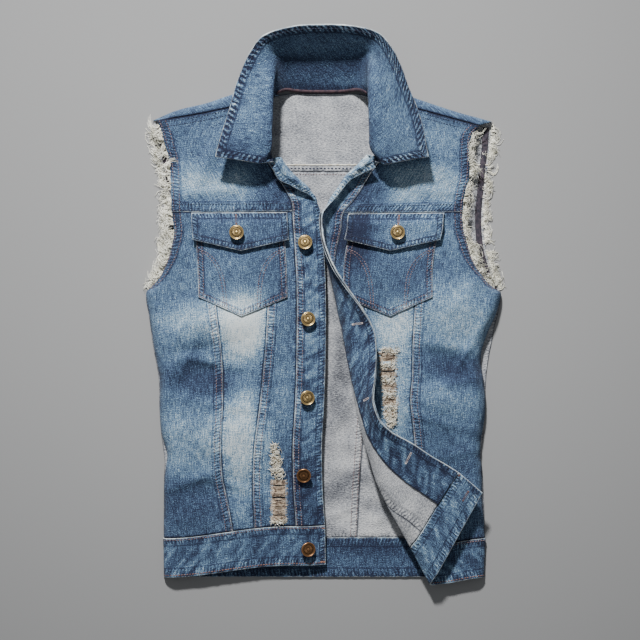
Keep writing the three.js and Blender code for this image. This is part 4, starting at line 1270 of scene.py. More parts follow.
def washed_face():
    """The dyed face of the twill: washed out, speckled, streaked along the warp and bare at its edges, with
    painted shadow lines beside its seams and edges.
    """
    colours = settings()[1]
    tree, given, out = group("washed_face", CLOTH_INPUTS, CLOTH_OUTPUTS)
    cut = given["Cut"]
    speckle = grain(tree, cut, 1.15, 1.3, 2.0, 0.7)
    slub = grain(tree, cut, 1.1, 14.0, 2.0, 0.6)
    weft = grain(tree, cut, 9.0, 1.1, 1.0, 0.5)
    cloud = grain(tree, cut, 24.0, 30.0, 4.0, 0.6)
    patch = grain(tree, cut, 6.0, 8.0, 3.0, 0.6)
    ladder, off, band, rubbed = ladder_of(tree, given["Edge"])
    beside = step_down(tree, off, 2.0, 15.0)
    # Painted shadow lines: a dark line just past a felled band, and a dark line along a plain edge that tucks
    # under.
    past_band = maths(tree, "SUBTRACT", off, maths(tree, "ADD", band, 0.9))
    groove = times(tree, step_down(tree, maths(tree, "ABSOLUTE", past_band), 0.2, 1.6), rubbed)
    tucked_edge_shadow = times(tree, step_down(tree, off, 0.6, 2.4), maths(tree, "SUBTRACT", 1.0, rubbed))
    level = total(
        tree,
        [
            given["Tone"],
            given["Fade"],
            centred(tree, speckle, 1.9),
            centred(tree, slub, 1.0),
            centred(tree, weft, 0.5),
            centred(tree, cloud, 0.28),
            centred(tree, patch, 0.2),
            times(tree, given["Rope"], given["Roping"]),
            times(tree, ladder, given["Ladder"]),
            times(tree, beside, -0.08),
            times(tree, groove, -0.2),
            times(tree, tucked_edge_shadow, -0.4),
        ],
    )
    tones = (colours.deep, colours.dark, colours.mid, colours.pale, colours.bare)
    dyed = ramp(tree, level, list(zip(DYED_STOPS, tones)))
    ragged = total(tree, [off, centred(tree, speckle, 3.0), centred(tree, patch, 2.0)])
    worn = times(tree, maths(tree, "SUBTRACT", cloud, 0.3), 2.4, clamped=True)
    line = times(tree, step_down(tree, ragged, 0.3, 1.1), times(tree, rubbed, worn))
    tree.links.new(blend_colour(tree, line, dyed, tuple(colours.bare)), out["Color"])
    values = {"Vector": cut, "Scale": 0.32, "Distortion": 1.5}
    twill = put(tree, "ShaderNodeTexWave", values, bands_direction="DIAGONAL")
    relief = total(
        tree,
        [
            centred(tree, twill.outputs["Fac"], 0.5),
            centred(tree, speckle, 1.2),
            centred(tree, slub, 0.8),
            centred(tree, patch, 1.0),
            times(tree, ladder, 0.55),
        ],
    )
    tree.links.new(relief, out["Height"])


def washed_reverse():
    """The pale reverse of the twill, with short grey flecks across it."""
    tree, given, out = group("washed_reverse", CLOTH_INPUTS, CLOTH_OUTPUTS)
    cut = given["Cut"]
    fleck = grain(tree, cut, 3.6, 1.2, 2.0, 0.6)
    speckle = grain(tree, cut, 1.3, 1.3, 2.0, 0.6)
    cloud = grain(tree, cut, 30.0, 22.0, 3.0, 0.5)
    ladder, off = ladder_of(tree, given["Edge"])[:2]
    line = step_down(tree, off, 0.4, 1.6)
    level = total(
        tree,
        [
            given["Tone"],
            given["Fade"],
            centred(tree, fleck, 1.6),
            centred(tree, speckle, 1.3),
            centred(tree, cloud, 0.8),
            times(tree, given["Rope"], given["Roping"]),
            times(tree, ladder, given["Ladder"]),
            times(tree, line, -0.45),
        ],
    )
    tree.links.new(ramp(tree, level, REVERSE_TONES), out["Color"])
    relief = total(tree, [centred(tree, fleck, 1.4), centred(tree, speckle, 1.2)])
    tree.links.new(relief, out["Height"])


def attribute(tree, name, output="Fac"):
    return put(tree, "ShaderNodeAttribute", attribute_name=name).outputs[output]


def new_material(name):
    """A material, its node tree and its shader."""
    material = bpy.data.materials.new(name)
    material.use_nodes = True
    tree = material.node_tree
    return material, tree, tree.nodes["Principled BSDF"]


def raised(tree, height, strength, distance):
    """The normals of a fine relief, up to `distance` metres high."""
    values = {"Height": height, "Strength": strength, "Distance": distance}
    return put(tree, "ShaderNodeBump", values).outputs[0]


def cloth_material(name, kind, tone, roping, ladder):
    """Cloth with the colour and the relief of one of the two washed groups."""
    material, tree, shader = new_material(name)
    values = {
        "Cut": attribute(tree, "cut", "Vector"),
        "Edge": attribute(tree, "edge", "Vector"),
        "Rope": attribute(tree, "rope"),
        "Fade": attribute(tree, "fade"),
        "Tone": tone,
        "Roping": roping,
        "Ladder": ladder,
    }
    washed = put(tree, "ShaderNodeGroup", values, node_tree=bpy.data.node_groups[kind]).outputs
    looks = {
        "Base Color": washed["Color"],
        "Normal": raised(tree, washed["Height"], 0.8, 0.0008),
        "Roughness": 0.92,
        "Sheen Weight": 0.06,
        "Specular IOR Level": 0.2,
    }
    set_inputs(tree, shader, looks)
    return material


def yarn_material(name, colour, shade, scale=0.0012):
    """Loose or sewn yarn: its colour, darker in the hollows of its twist."""
    material, tree, shader = new_material(name)
    place = put(tree, "ShaderNodeTexCoord").outputs["Object"]
    values = {"Vector": place, "Scale": 1 / scale, "Detail": 2.0}
    fibres = put(tree, "ShaderNodeTexNoise", values).outputs["Fac"]
    share = put(tree, "ShaderNodeMapRange", {"Value": fibres, "From Min": 0.35, "From Max": 0.62})
    looks = {
        "Base Color": blend_colour(tree, share.outputs[0], shade, colour),
        "Normal": raised(tree, fibres, 0.5, 0.0003),
        "Roughness": 0.9,
    }
    set_inputs(tree, shader, looks)
    return material


def metal_material(name, bright):
    """Antique metal: bright where it stands proud, brown where polish doesn't reach."""
    material, tree, shader = new_material(name)
    place = put(tree, "ShaderNodeTexCoord").outputs["Object"]
    tarnish = put(tree, "ShaderNodeTexNoise", {"Vector": place, "Scale": 700.0, "Detail": 3.0}).outputs["Fac"]
    proud = maths(tree, "ADD", attribute(tree, "proud"), centred(tree, tarnish, 0.5), clamped=True)
    looks = {
        "Base Color": blend_colour(tree, proud, tuple(settings()[1].tarnish), bright),
        "Normal": raised(tree, tarnish, 0.3, 0.0002),
        "Roughness": maths(tree, "SUBTRACT", 0.58, times(tree, proud, 0.28)),
        "Metallic": 0.85,
    }
    set_inputs(tree, shader, looks)
    return material


def make_finishes():
    colours = settings()[1]
    washed_face()
    washed_reverse()
    made = {
        "faded": cloth_material("denim_faded", "washed_face", 0.39, 0.24, 0.14),
        "worn": cloth_material("denim_worn", "washed_face", 0.35, 0.3, 0.18),
        "dark": cloth_material("denim_dark", "washed_face", 0.28, 0.36, 0.15),
        "roped": cloth_material("denim_roped", "washed_face", 0.355, 0.4, 0.4),
        "deep": cloth_material("denim_facing", "washed_face", 0.26, 0.36, 0.16),
        "reverse": cloth_material("denim_reverse", "washed_reverse", 0.52, 0.3, 0.3),
        "raw": yarn_material("bare_edge", (0.8, 0.77, 0.68), (0.45, 0.42, 0.36)),
        "fringe": yarn_material("fringe_yarn", (1.0, 0.98, 0.87), (0.7, 0.68, 0.56), 0.006),
        "cream": yarn_material("tuft_yarn", (0.98, 0.95, 0.84), (0.6, 0.52, 0.38), 0.004),
        "weft": yarn_material("rip_yarn", (0.74, 0.62, 0.48), (0.24, 0.17, 0.13), 0.004),
        "navy": yarn_material("thread_navy", (0.045, 0.05, 0.09), (0.015, 0.018, 0.035), 0.02),
        "brown": yarn_material("thread_brown", (0.32, 0.21, 0.2), (0.1, 0.06, 0.07), 0.012),
        "rust": yarn_material("thread_rust", (0.38, 0.19, 0.13), (0.16, 0.08, 0.07), 0.012),
        "pale": yarn_material("thread_pale", (0.8, 0.72, 0.68), (0.4, 0.3, 0.29), 0.004),
        "hem": yarn_material("armhole_tape", (0.07, 0.055, 0.07), (0.018, 0.018, 0.03), 0.005),
        "tape": yarn_material("neck_tape", (0.09, 0.05, 0.06), (0.035, 0.022, 0.035), 0.004),
        "brass": metal_material("antique_brass", tuple(colours.brass)),
        "bronze": metal_material("dark_bronze", tuple(colours.bronze)),
    }
    FINISH.update(made)


# Where the fronts are washed out or left dark: middle, turn from +X in degrees, half length, half width
# and amount. Some spots are painted light and shade instead: the lit and shaded sides of folds, the
# collar's shadow beside the neck and a shadow over the left flap.
FADES_AND_PAINTED_LIGHT = [
    (-178, -18, 10, 50, 30, 0.26),
    (-164, -90, 4, 62, 22, -0.24),
    (-98, -86, -30, 30, 12, -0.05),
    (-106, -20, 90, 46, 34, 0.56),
    (-110, -176, 88, 66, 32, 0.36),
    (-174, -172, 70, 46, 46, 0.2),
    (-180, -262, 4, 50, 36, -0.2),
    (-52, -110, 90, 60, 20, 0.06),
    (-54, -236, 90, 60, 22, -0.12),
    (-20, -250, 90, 70, 18, -0.16),
    (-20, -20, 90, 60, 16, 0.06),
    (-146, 160, 2, 62, 20, 0.3),
    (-180, 218, 60, 40, 16, -0.04),
    (-60, 152, 10, 34, 30, -0.2),
    (-120, 42, 0, 40, 24, 0.06),
    (171, -14, -8, 52, 40, 0.26),
    (172, -78, 6, 46, 24, -0.26),
    (174, -124, 0, 44, 18, 0.12),
    (166, -226, 10, 56, 62, -0.1),
    (150, -268, -30, 40, 16, 0.1),
    (95, -30, 90, 40, 28, 0.32),
    (46, 88, 90, 36, 26, -0.44),
    (-26, -226, 90, 56, 16, -0.12),
    (98, -122, 90, 60, 22, 0.16),
    (134, 160, -2, 58, 20, 0.3),
    (54, 150, 0, 30, 30, -0.2),
    (126, 98, 0, 34, 20, 0.2),
    (128, 34, 0, 40, 30, -0.06),
    (150, 215, -20, 40, 18, 0.1),
]
TURNED_FADE = 0.1
SPOT_CRISP = 1.7


def patches(spots, x, y):
    """The sum of spots given as folds are, with an amount for their height."""
    return swell(spots, x, y, SPOT_CRISP)


def wash(piece, front, tone):
    """Sets how far each point of a front's piece is washed out, and adds the painted light and shade of the
    spots. Only the left front has a turned part.
    """
    x, y = piece.base[..., 0], piece.base[..., 1]
    wander_x = 14 * noise(x / 40, y / 40, 71)
    wander_y = 14 * noise(x / 34 + 9, y / 34, 72)
    shade = patches(FADES_AND_PAINTED_LIGHT, x + wander_x, y + wander_y)
    piece.fade += lerp(TURNED_FADE, shade, piece.lying if front is LEFT else 1.0) + tone


# Smaller creases of the fronts, which only the cloth has.
CREASES = [
    (-166, -56, 10, 44, 8, -2),
    (-150, -72, -10, 52, 6, 2),
    (-188, -88, 62, 34, 6, 2),
    (-120, -130, -8, 52, 7, 1.6),
    (-168, -226, 18, 46, 7, 2),
    (-108, -236, -15, 40, 6, 1.6),
    (-180, 62, -52, 36, 6, 1.2),
    (-168, 74, -36, 30, 5, -0.9),
    (-190, -40, 70, 30, 4, 1),
    (160, -52, -10, 46, 8, 2),
    (170, -100, 12, 44, 6, 2),
    (186, -60, 62, 34, 5, 1.8),
    (150, -150, -15, 46, 7, 1.7),
    (172, -192, 12, 46, 8, 1.8),
    (190, 22, 48, 36, 6, 1.1),
    (146, -250, -24, 40, 7, 1.2),
    (-150, 150, 5, 40, 5, 0.9),
    (150, 150, -5, 40, 5, 0.9),
    (-96, 176, 62, 30, 5, -0.9),
    (96, 176, -62, 30, 5, -0.9),
    (-112, 20, 80, 30, 5, 0.5),
    (112, 24, 96, 30, 5, 0.5),
]


def crease(piece):
    x, y = piece.base[..., 0], piece.base[..., 1]
    piece.height += piece.lying * smooth(piece.rim / 6) * swell(CREASES, x, y)


# What is sewn on, or hangs loose

def resample(points, normals, places):
    run = np.concatenate([[0], np.cumsum(np.linalg.norm(np.diff(points, axis=0), axis=1))])
    at = np.stack([np.interp(places, run, points[:, c]) for c in range(3)], -1)
    up = np.stack([np.interp(places, run, normals[:, c]) for c in range(3)], -1)
    return at, up


def length_of(points):
    return float(np.linalg.norm(np.diff(points, axis=0), axis=1).sum())


def stitches_along(lines, long=None, gap=0.9, seed=1):
    """Starts, ends and normals of the stitches along lines of points and normals."""
    long = long or settings()[0].stitch
    rng = np.random.default_rng(seed)
    found = []
    for points, normals in lines:
        reach = length_of(points)
        if reach < 2 * long:
            continue
        start = np.arange(0.5, reach - long, long + gap)
        start = start + rng.uniform(-0.25, 0.25, len(start))
        a, up = resample(points, normals, start)
        b, _ = resample(points, normals, start + long)
        found.append((a, b, up))
    return [np.concatenate(part) for part in zip(*found)]


# How far a stitch stands out of the cloth and reaches into it, as shares of its width.
STITCH_PROUD = 0.55
STITCH_SUNK = 0.4


def stitch_mesh(name, stitches, width, materials):
    """A mesh of small spindles, one to a stitch, half sunk in the cloth."""
    a, b, up = stitches
    side = unit(np.cross(unit(b - a), up))
    half = width / 2
    ring = [up * STITCH_PROUD * width, side * half, -up * STITCH_SUNK * width, -side * half]
    verts = [a]
    for share in (0.22, 0.78):
        middle = a + (b - a) * share
        verts += [middle + r for r in ring]
    verts.append(b)
    points = np.stack(verts, 1).reshape(-1, 3)
    block = []
    for c in range(4):
        d = (c + 1) % 4
        block += [(0, 1 + d, 1 + c), (1 + c, 1 + d, 5 + d), (1 + c, 5 + d, 5 + c), (9, 5 + c, 5 + d)]
    faces = (np.arange(len(a))[:, None, None] * len(verts) + np.array(block)).reshape(-1, 3)
    return to_mesh(name, points, faces, materials)


TUBE_SIDES = 3
NEARLY_UP = [0.0, 0.05, 1.0]


def tube_mesh(name, paths, radius, materials, tip=0.35):
    """A mesh of thin tapering tubes; paths is strands x points x 3, radius one for each strand."""
    strands, count, _ = paths.shape
    along = unit(np.gradient(paths, axis=1))
    side = unit(np.cross(along, np.zeros_like(along) + NEARLY_UP))
    over = np.cross(side, along)
    thick = radius[:, None, None] * lerp(1, tip, np.linspace(0, 1, count) ** 2)[None, :, None]
    sides = TUBE_SIDES
    rings = []
    for c in range(sides):
        angle = 2 * math.pi * c / sides
        rings.append(paths + thick * (side * math.cos(angle) + over * math.sin(angle)))
    points = np.stack(rings, 2).reshape(-1, 3)
    block = []
    for j in range(count - 1):
        for c in range(sides):
            d = (c + 1) % sides
            low, high = j * sides, (j + 1) * sides
            block += [(low + c, high + d, low + d), (low + c, high + c, high + d)]
    last = (count - 1) * sides
    for c in range(1, sides - 1):
        block += [(0, c, c + 1), (last, last + c + 1, last + c)]
    faces = (np.arange(strands)[:, None, None] * count * sides + np.array(block)[None]).reshape(-1, 3)
    return to_mesh(name, points, faces, materials)


def settle(thing, node=None):
    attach(thing, "root")
    if node:
        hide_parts(node)
    return thing


# Frayed armholes

EDGE_INSET = 1.0


def frayed_edge(x, y, z, direction, inset):
    """Points and outward directions along an armhole, `inset` inside its edge."""
    out = unit(np.stack([np.gradient(y), -np.gradient(x)], -1) * direction)
    return np.stack([x - out[:, 0] * inset, y - out[:, 1] * inset, z], -1), out


def armhole_edge(front):
    v = np.linspace(UNDERARM + 6, front.shoulder - 3, 240)
    return frayed_edge(front.side(v).x, v + HEM_Y, footing(v).high - CLOTH / 2, front.dir, EDGE_INSET)


def back_edge(front, inset):
    v = np.linspace(UNDERARM + 4, 588, 240)
    x = back_side[front.name](v).x
    return frayed_edge(x, v + HEM_Y, 0 * x + CLOTH / 2, front.dir, inset)


STRAND_POINTS = 8
LOCK_SPACING = 3.6


def fringe_paths(points, out, each, shortest, longest, seed, lift, floor=0.8):
    """Curling strands that spring from an edge in locks of `each`, every strand near its lock's middle."""
    rng = np.random.default_rng(seed)
    locks = int(length_of(points) / LOCK_SPACING)
    count = locks * each
    lock = np.repeat(np.arange(locks), each)
    place = (lock + rng.uniform(-0.35, 1.35, count)) / locks * (len(points) - 1)
    place = np.clip(place, 0, len(points) - 1)
    root = np.stack([np.interp(place, np.arange(len(points)), points[:, c]) for c in range(3)], -1)
    away = np.stack([np.interp(place, np.arange(len(out)), out[:, c]) for c in range(2)], -1)
    lean = rng.normal(0, 0.6, locks)[lock] + rng.normal(0, 0.14, count)
    long = rng.uniform(shortest, longest, locks)[lock] * rng.uniform(0.6, 1.1, count)
    curl = rng.normal(0, 1.1, locks)[lock] + rng.normal(0, 0.3, count)
    phase = rng.uniform(0, 2 * math.pi, locks)[lock] + rng.normal(0, 0.5, count)
    high = rng.uniform(-0.5, 1, locks)[lock] + rng.normal(0, 0.2, count)
    f = np.linspace(0, 1, STRAND_POINTS)[None, :]
    run = f * long[:, None]
    angle = lean[:, None] + curl[:, None] * f + 0.6 * np.sin(phase[:, None] + 6 * f) * f
    tangent = np.stack([-away[:, 1], away[:, 0]], -1)
    across = run * np.cos(angle) - 2.5 * (1 - f) ** 2
    beside = run * np.sin(angle)
    rise = lift * high[:, None] * np.sin(f * math.pi * 0.75) + 0.7 * np.sin(phase[:, None] + 5 * f) * f
    x = root[:, :1] + away[:, :1] * across + tangent[:, :1] * beside
    y = root[:, 1:2] + away[:, 1:] * across + tangent[:, 1:] * beside
    z = np.maximum(root[:, 2:] + rise, floor)
    return np.stack([x, y, z], -1)


# Worn-through places

# Middle, width and height of each opening, and of each place covered by loose tufts.
RIPS = {
    "right": [(-62, -204, 8, 18), (-58, -252, 17, 56)],
    "left": [(84, -66, 20, 12), (84, -86, 19, 11), (85, -105, 15, 13), (87, -123, 16, 12),
             (87, -140, 13, 10)],
}
TUFTS = {
    "right": [(-64, -182, 6, 10), (-62, -193, 10, 12), (-61, -205, 12, 14), (-60, -217, 15, 12),
              (-58, -281, 16, 3)],
    "left": [(86, -57, 20, 5), (84, -76, 20, 6), (84, -96, 17, 6), (86, -114, 15, 5), (88, -132, 16, 6),
             (88, -144, 14, 10), (89, -152, 8, 6)],
}
RIP_ROUND = 0.35


def from_rip(x, y, rip):
    """Distance outside a rip's rounded outline, below 0 inside it."""
    middle_x, middle_y, wide, high = rip
    bend = min(wide, high) * RIP_ROUND
    dx = np.abs(x - middle_x) - (wide / 2 - bend)
    dy = np.abs(y - middle_y) - (high / 2 - bend)
    outside = np.hypot(np.maximum(dx, 0), np.maximum(dy, 0))
    return outside + np.minimum(np.maximum(dx, dy), 0) - bend


def cut_rips(piece, rips):
    """Leaves out a piece's cells inside its rips, and bleaches the cloth round them."""
    x, y = piece.base[..., 0], piece.base[..., 1]
    far = np.min([from_rip(x, y, rip) for rip in rips], axis=0)
    ragged = far + 0.8 * noise(x / 1.4, y / 1.4, 201)
    middle = (ragged[:-1, :-1] + ragged[1:, :-1] + ragged[:-1, 1:] + ragged[1:, 1:]) / 4
    piece.keep = middle > 0
    piece.fade += 0.3 * bell(np.maximum(far, 0), 2.4)
    piece.height += 0.4 * bell(np.maximum(far, 0), 2.5)


def weft_paths(front, rips, seed):
    """The weft threads left bare across each rip."""
    rng = np.random.default_rng(seed)
    f = np.linspace(0, 1, STRAND_POINTS)
    found, thick = [], []
    for middle_x, middle_y, wide, high in rips:
        gap = rng.uniform(-high / 2, high / 2, 1 + int(high / 16))
        for row in np.arange(-high / 2 - 0.2, high / 2 + 0.2, 0.36):
            if np.min(np.abs(row - gap)) < 1.1:
                continue
            reach = wide / 2 + rng.uniform(-0.5, 3.2)
            x = middle_x + rng.uniform(-1.4, 1.4) + lerp(-reach, reach, f)
            bow = rng.normal(-0.6, 0.9) * np.sin(math.pi * f) + rng.normal(0, 0.4) * np.sin(3 * math.pi * f)
            y = middle_y + row + bow
            sag = rng.uniform(-0.5, 1.4) * np.sin(math.pi * f)
            found.append(np.stack([x, y, front_face(front, x, y) + 0.5 - sag], -1))
            thick.append(rng.uniform(0.26, 0.5))
    return np.array(found), np.array(thick)


def tuft_paths(front, tufts, seed):
    """Loose curled ends that stand up round the rips."""
    rng = np.random.default_rng(seed)
    f = np.linspace(0, 1, STRAND_POINTS)
    found, thick = [], []
    for middle_x, middle_y, wide, high in tufts:
        for _ in range(int(1.1 * wide * high ** 0.5) + 12):
            x0 = middle_x + rng.uniform(-wide / 2, wide / 2)
            y0 = middle_y + rng.uniform(-high / 2, high / 2)
            turn = rng.uniform(0, 2 * math.pi)
            bend = rng.normal(0, 1.4)
            long = rng.uniform(2.5, 7.0)
            x = x0 + long * f * np.cos(turn + bend * f)
            y = y0 + long * f * np.sin(turn + bend * f)
            rise = rng.uniform(0.6, 2.4) * np.sin(math.pi * f * 0.75)
            found.append(np.stack([x, y, front_face(front, x, y) + 0.5 + rise], -1))
            thick.append(rng.uniform(0.32, 0.62))
    return np.array(found), np.array(thick)


# Buttons

BUTTON = SimpleNamespace(radius=9.5, cap=3, dish=0.9, shank=3.4, stem=3)
BUTTON_SIDES = 72
RAYS = 18

# Between which radii the rays lie, how soft their ends are, how deep they are cut and how dull in there.
RAY_FROM = 2.4
RAY_TO = 6.2
RAY_END = 0.4
RAY_DEEP = 0.42
RAY_DULL = 0.55

PLACKET_FACE = PLACKET_PROUD + SEAM_GAP
BAND_FACE = BAND_PROUD + SEAM_GAP
FLAP_FACE = LAYER_GAP + FLAP_CLOTH + FLAP.stand + 1 + SEAM_GAP
BUTTONS = [
    ("button_1", RIGHT, 24, 437, PLACKET_FACE, 0, 0.1, "brass"),
    ("button_2", RIGHT, 24, 338, PLACKET_FACE, 0, 0.05, "brass"),
    ("button_3", RIGHT, 23, 227, PLACKET_FACE, 0.05, 0, "brass"),
    ("button_4", RIGHT, 24, 122, PLACKET_FACE + 1, -0.1, -0.25, "bronze"),
    ("button_5", RIGHT, 24, 22, BAND_FACE + 0.6, 0.15, 0, "bronze"),
    ("button_flap_right", RIGHT, 112, 450, FLAP_FACE, 0, 0, "brass"),
    ("button_flap_left", LEFT, 112, 450, FLAP_FACE, 0, 0, "brass"),
]


def button_profile():
    """Radius, height and how proud the metal is there, from the cap's middle out and under to the shank."""
    b = BUTTON
    top = b.stem + b.cap
    face = top - b.dish
    return [
        (0.5, face + 1.0, 0.7),
        (1.4, face + 0.95, 0.9),
        (1.9, face + 0.5, 0.15),
        (2.3, face + 0.45, 0.1),
        (2.8, face + 0.75, 0.6),
        (4.0, face + 0.72, 0.6),
        (5.2, face + 0.62, 0.55),
        (5.9, face + 0.42, 0.3),
        (6.3, face + 0.15, 0.0),
        (6.8, face + 0.12, 0.05),
        (7.1, face + 0.5, 0.7),
        (7.5, face + 0.48, 0.6),
        (7.8, face + 0.1, 0.0),
        (8.1, face + 0.25, 0.3),
        (8.5, top + 0.05, 1.0),
        (9.0, top, 1.0),
        (9.35, top - 0.45, 0.9),
        (b.radius, top - 1.1, 0.6),
        (9.3, b.stem + 0.7, 0.2),
        (8.6, b.stem + 0.1, 0.1),
        (b.shank, b.stem, 0.0),
        (b.shank, 0.3, 0.0),
    ]


def button_mesh(name, front, u, v, stand, tilt_x, tilt_y, turn, metal):
    at = lay(front, u, v)
    across = lay(front, u + 0.5, v) - at
    along = lay(front, u, v + 0.5) - at
    normal = np.cross(across, along) * front.dir
    normal = Vector(normal / np.linalg.norm(normal)) + Vector((tilt_x, tilt_y, 0))
    normal.normalize()
    at = Vector(at) + normal * stand
    profile = np.array(button_profile())
    angle = np.linspace(0, 2 * math.pi, BUTTON_SIDES, endpoint=False) + turn
    ray = 0.5 + 0.5 * np.cos(RAYS * (angle - turn))
    rayed = smooth((profile[:, 0] - RAY_FROM) / RAY_END) * smooth((RAY_TO - profile[:, 0]) / RAY_END)
    groove = rayed[:, None] * (1 - ray)
    radius, high, proud = profile.T[:, :, None]
    high = high - RAY_DEEP * groove
    proud = proud - RAY_DULL * groove
    points = np.stack([radius * np.cos(angle), radius * np.sin(angle), high], -1).reshape(-1, 3)
    count = len(profile)
    points = np.concatenate([points, [[0, 0, profile[0, 1] + 0.05], [0, 0, 0.3]]])
    proud = np.concatenate([proud.ravel(), [1, 0]])
    i = np.arange(BUTTON_SIDES)
    after = (i + 1) % BUTTON_SIDES
    faces = []
    for j in range(count - 1):
        a, b = j * BUTTON_SIDES + i, j * BUTTON_SIDES + after
        c, d = a + BUTTON_SIDES, b + BUTTON_SIDES
        faces += [np.stack([a, c, d], -1), np.stack([a, d, b], -1)]
    hub, foot = count * BUTTON_SIDES, count * BUTTON_SIDES + 1
    last = (count - 1) * BUTTON_SIDES
    faces += [np.stack([0 * i + hub, i, after], -1), np.stack([0 * i + foot, last + after, last + i], -1)]
    spin = normal.to_track_quat("Z", "Y").to_matrix()
    placed = points @ np.array(spin).T + np.array(at)
    return to_mesh(name, placed, np.concatenate(faces), [FINISH[metal]], attributes={"proud": proud})


# Operators

FACES = {
    "front_centre": ("faded", centre_panel, CLOTH, "denim_faded", "laid", 0.0),
    "front_middle": ("faded", middle_panel, CLOTH, "denim_faded", "laid", 0.11),
    "front_side": ("faded", side_panel, CLOTH, "denim_faded", "laid", 0.0),
    "front_yoke": ("faded", front_yoke, CLOTH, "denim_faded", "laid", 0.0),
    "placket": ("worn", placket, PLACKET_CLOTH, "denim_worn", "folded", 0.02),
    "waistband": ("dark", waistband, BAND_CLOTH, "denim_dark", "folded", 0.06),
    "pocket": ("worn", pocket, POCKET_CLOTH, "denim_worn", "laid", -0.02),
    "flap": ("worn", flap, FLAP_CLOTH, "denim_worn", "laid", -0.03),
}
DOUBLED = ("placket", "waistband", "flap", "collar")


def make_front_piece(kind, front):
    finish, make, depth, slot, held, tone = FACES[kind]
    node = f"{kind}_{front.name}"
    piece = make(front)
    wash(piece, front, tone)
    crease(piece)
    if kind == {"right": "front_centre", "left": "front_middle"}[front.name]:
        cut_rips(piece, RIPS[front.name])
    MADE[node] = piece
    back = FINISH[finish] if kind in DOUBLED else FINISH["reverse"]
    thing = shell("cloth_" + node, piece, depth, [FINISH[finish], back, FINISH["raw"]])
    finish_piece(thing, node)


class VestOperator:
    """What the vest's operators share."""

    bl_options = {"REGISTER"}

    def execute(self, context):
        self.make(context)
        return {"FINISHED"}


class VEST_OT_finishes(VestOperator, bpy.types.Operator):
    """Makes the cloth, yarn, thread and metal finishes"""

    bl_idname = "vest.finishes"
    bl_label = "Finishes"

    def make(self, context):
        make_finishes()


class VEST_OT_back(VestOperator, bpy.types.Operator):
    """Makes the back: its middle and side panels, its waistband and its yoke"""

    bl_idname = "vest.back"
    bl_label = "Back"

    def make(self, context):
        kinds = [FINISH["faded"], FINISH["reverse"], FINISH["raw"]]
        back_shell("cloth_back_centre", "back_centre", back_body(seam_right, seam_left, 120), CLOTH, kinds)
        right = back_body(back_right, seam_right, 130)
        back_shell("cloth_back_side_right", "back_side_right", right, CLOTH, kinds)
        left = back_body(seam_left, back_left, 140)
        back_shell("cloth_back_side_left", "back_side_left", left, CLOTH, kinds)
        band = back_piece(back_right, back_left, 0, BAND_TOP - HALF_GAP)
        sew(band, 151, {"low": "hem", "high": "hem"})
        dark = [FINISH["dark"], FINISH["dark"], FINISH["raw"]]
        back_shell("cloth_back_waistband", "back_waistband", band, BAND_CLOTH, dark)
        yoke, inside = back_yoke()
        inner = yoke.base - yoke.normal * (CLOTH + inside)[..., None]
        thing = shell("cloth_back_yoke", yoke, CLOTH, kinds, inner)
        finish_piece(thing, "back_yoke")
        MADE["back_yoke.inside"] = inside_of(yoke, inner)


class VEST_OT_front_panels(VestOperator, bpy.types.Operator):
    """Makes the centre, middle and side panels and the yoke of both fronts"""

    bl_idname = "vest.front_panels"
    bl_label = "Front panels"

    def make(self, context):
        for front in FRONTS:
            for kind in ("front_centre", "front_middle", "front_side", "front_yoke"):
                make_front_piece(kind, front)


class VEST_OT_front_bands(VestOperator, bpy.types.Operator):
    """Makes both plackets, both waistbands and the left facing"""

    bl_idname = "vest.front_bands"
    bl_label = "Plackets and waistbands"

    def make(self, context):
        for front in FRONTS:
            make_front_piece("placket", front)
            make_front_piece("waistband", front)
        piece = facing(LEFT)
        MADE["facing_left"] = piece
        kinds = [FINISH["deep"], FINISH["reverse"], FINISH["raw"]]
        thing = shell("cloth_facing_left", piece, FACING_CLOTH, kinds)
        finish_piece(thing, "facing_left")


class VEST_OT_pockets(VestOperator, bpy.types.Operator):
    """Makes both patch pockets and their flaps"""

    bl_idname = "vest.pockets"
    bl_label = "Pockets and flaps"

    def make(self, context):
        for front in FRONTS:
            make_front_piece("pocket", front)
            make_front_piece("flap", front)


# Paler and darker washed spots on the collar, and a painted lit patch low on the back of its stand: middle,
# turn from +X in degrees, half length, half width and amount.
COLLAR_FADES_AND_LIGHT = [
    (-90, 262, 80, 50, 16, 0.08),
    (-112, 205, 20, 26, 14, -0.12),
    (92, 255, 100, 50, 18, 0.08),
    (112, 205, -10, 24, 16, 0.06),
    (34, 292, -4, 30, 12, 0.14),
]


# How much darker the collar is along its edge, how far in, and how much wider apart its puckers are there.
COLLAR_EDGE_DARK = 0.1
COLLAR_EDGE_WIDE = 15.0
COLLAR_BARS_APART = 1.55


class VEST_OT_collar(VestOperator, bpy.types.Operator):
    """Makes the collar, turned up at the back of the neck"""

    bl_idname = "vest.collar"
    bl_label = "Collar"

    def make(self, context):
        piece = collar()
        # Painted shade darkens the stand, the rows nearest the neck seam, where the turned-up collar shades
        # it.
        stand = smooth((0.44 - piece.t) / 0.16)[:, None]
        x, y = piece.base[..., 0], piece.base[..., 1]
        piece.fade += patches(COLLAR_FADES_AND_LIGHT, x, y) - 0.2 * stand
        piece.fade -= COLLAR_EDGE_DARK * smooth((COLLAR_EDGE_WIDE - piece.seam) / 6)
        piece.run /= COLLAR_BARS_APART
        MADE["collar"] = piece
        thing = shell("cloth_collar", piece, COLLAR_CLOTH, [FINISH["roped"], FINISH["roped"], FINISH["raw"]])
        finish_piece(thing, "collar")


class VEST_OT_buttons(VestOperator, bpy.types.Operator):
    """Makes the seven metal buttons, each with a rim, rings and plain rays"""

    bl_idname = "vest.buttons"
    bl_label = "Buttons"

    def make(self, context):
        for n, (node, front, u, v, stand, tilt_x, tilt_y, metal) in enumerate(BUTTONS):
            thing = button_mesh("metal_" + node, front, u, v, stand, tilt_x, tilt_y, 0.3 * n, metal)
            settle(thing, node)


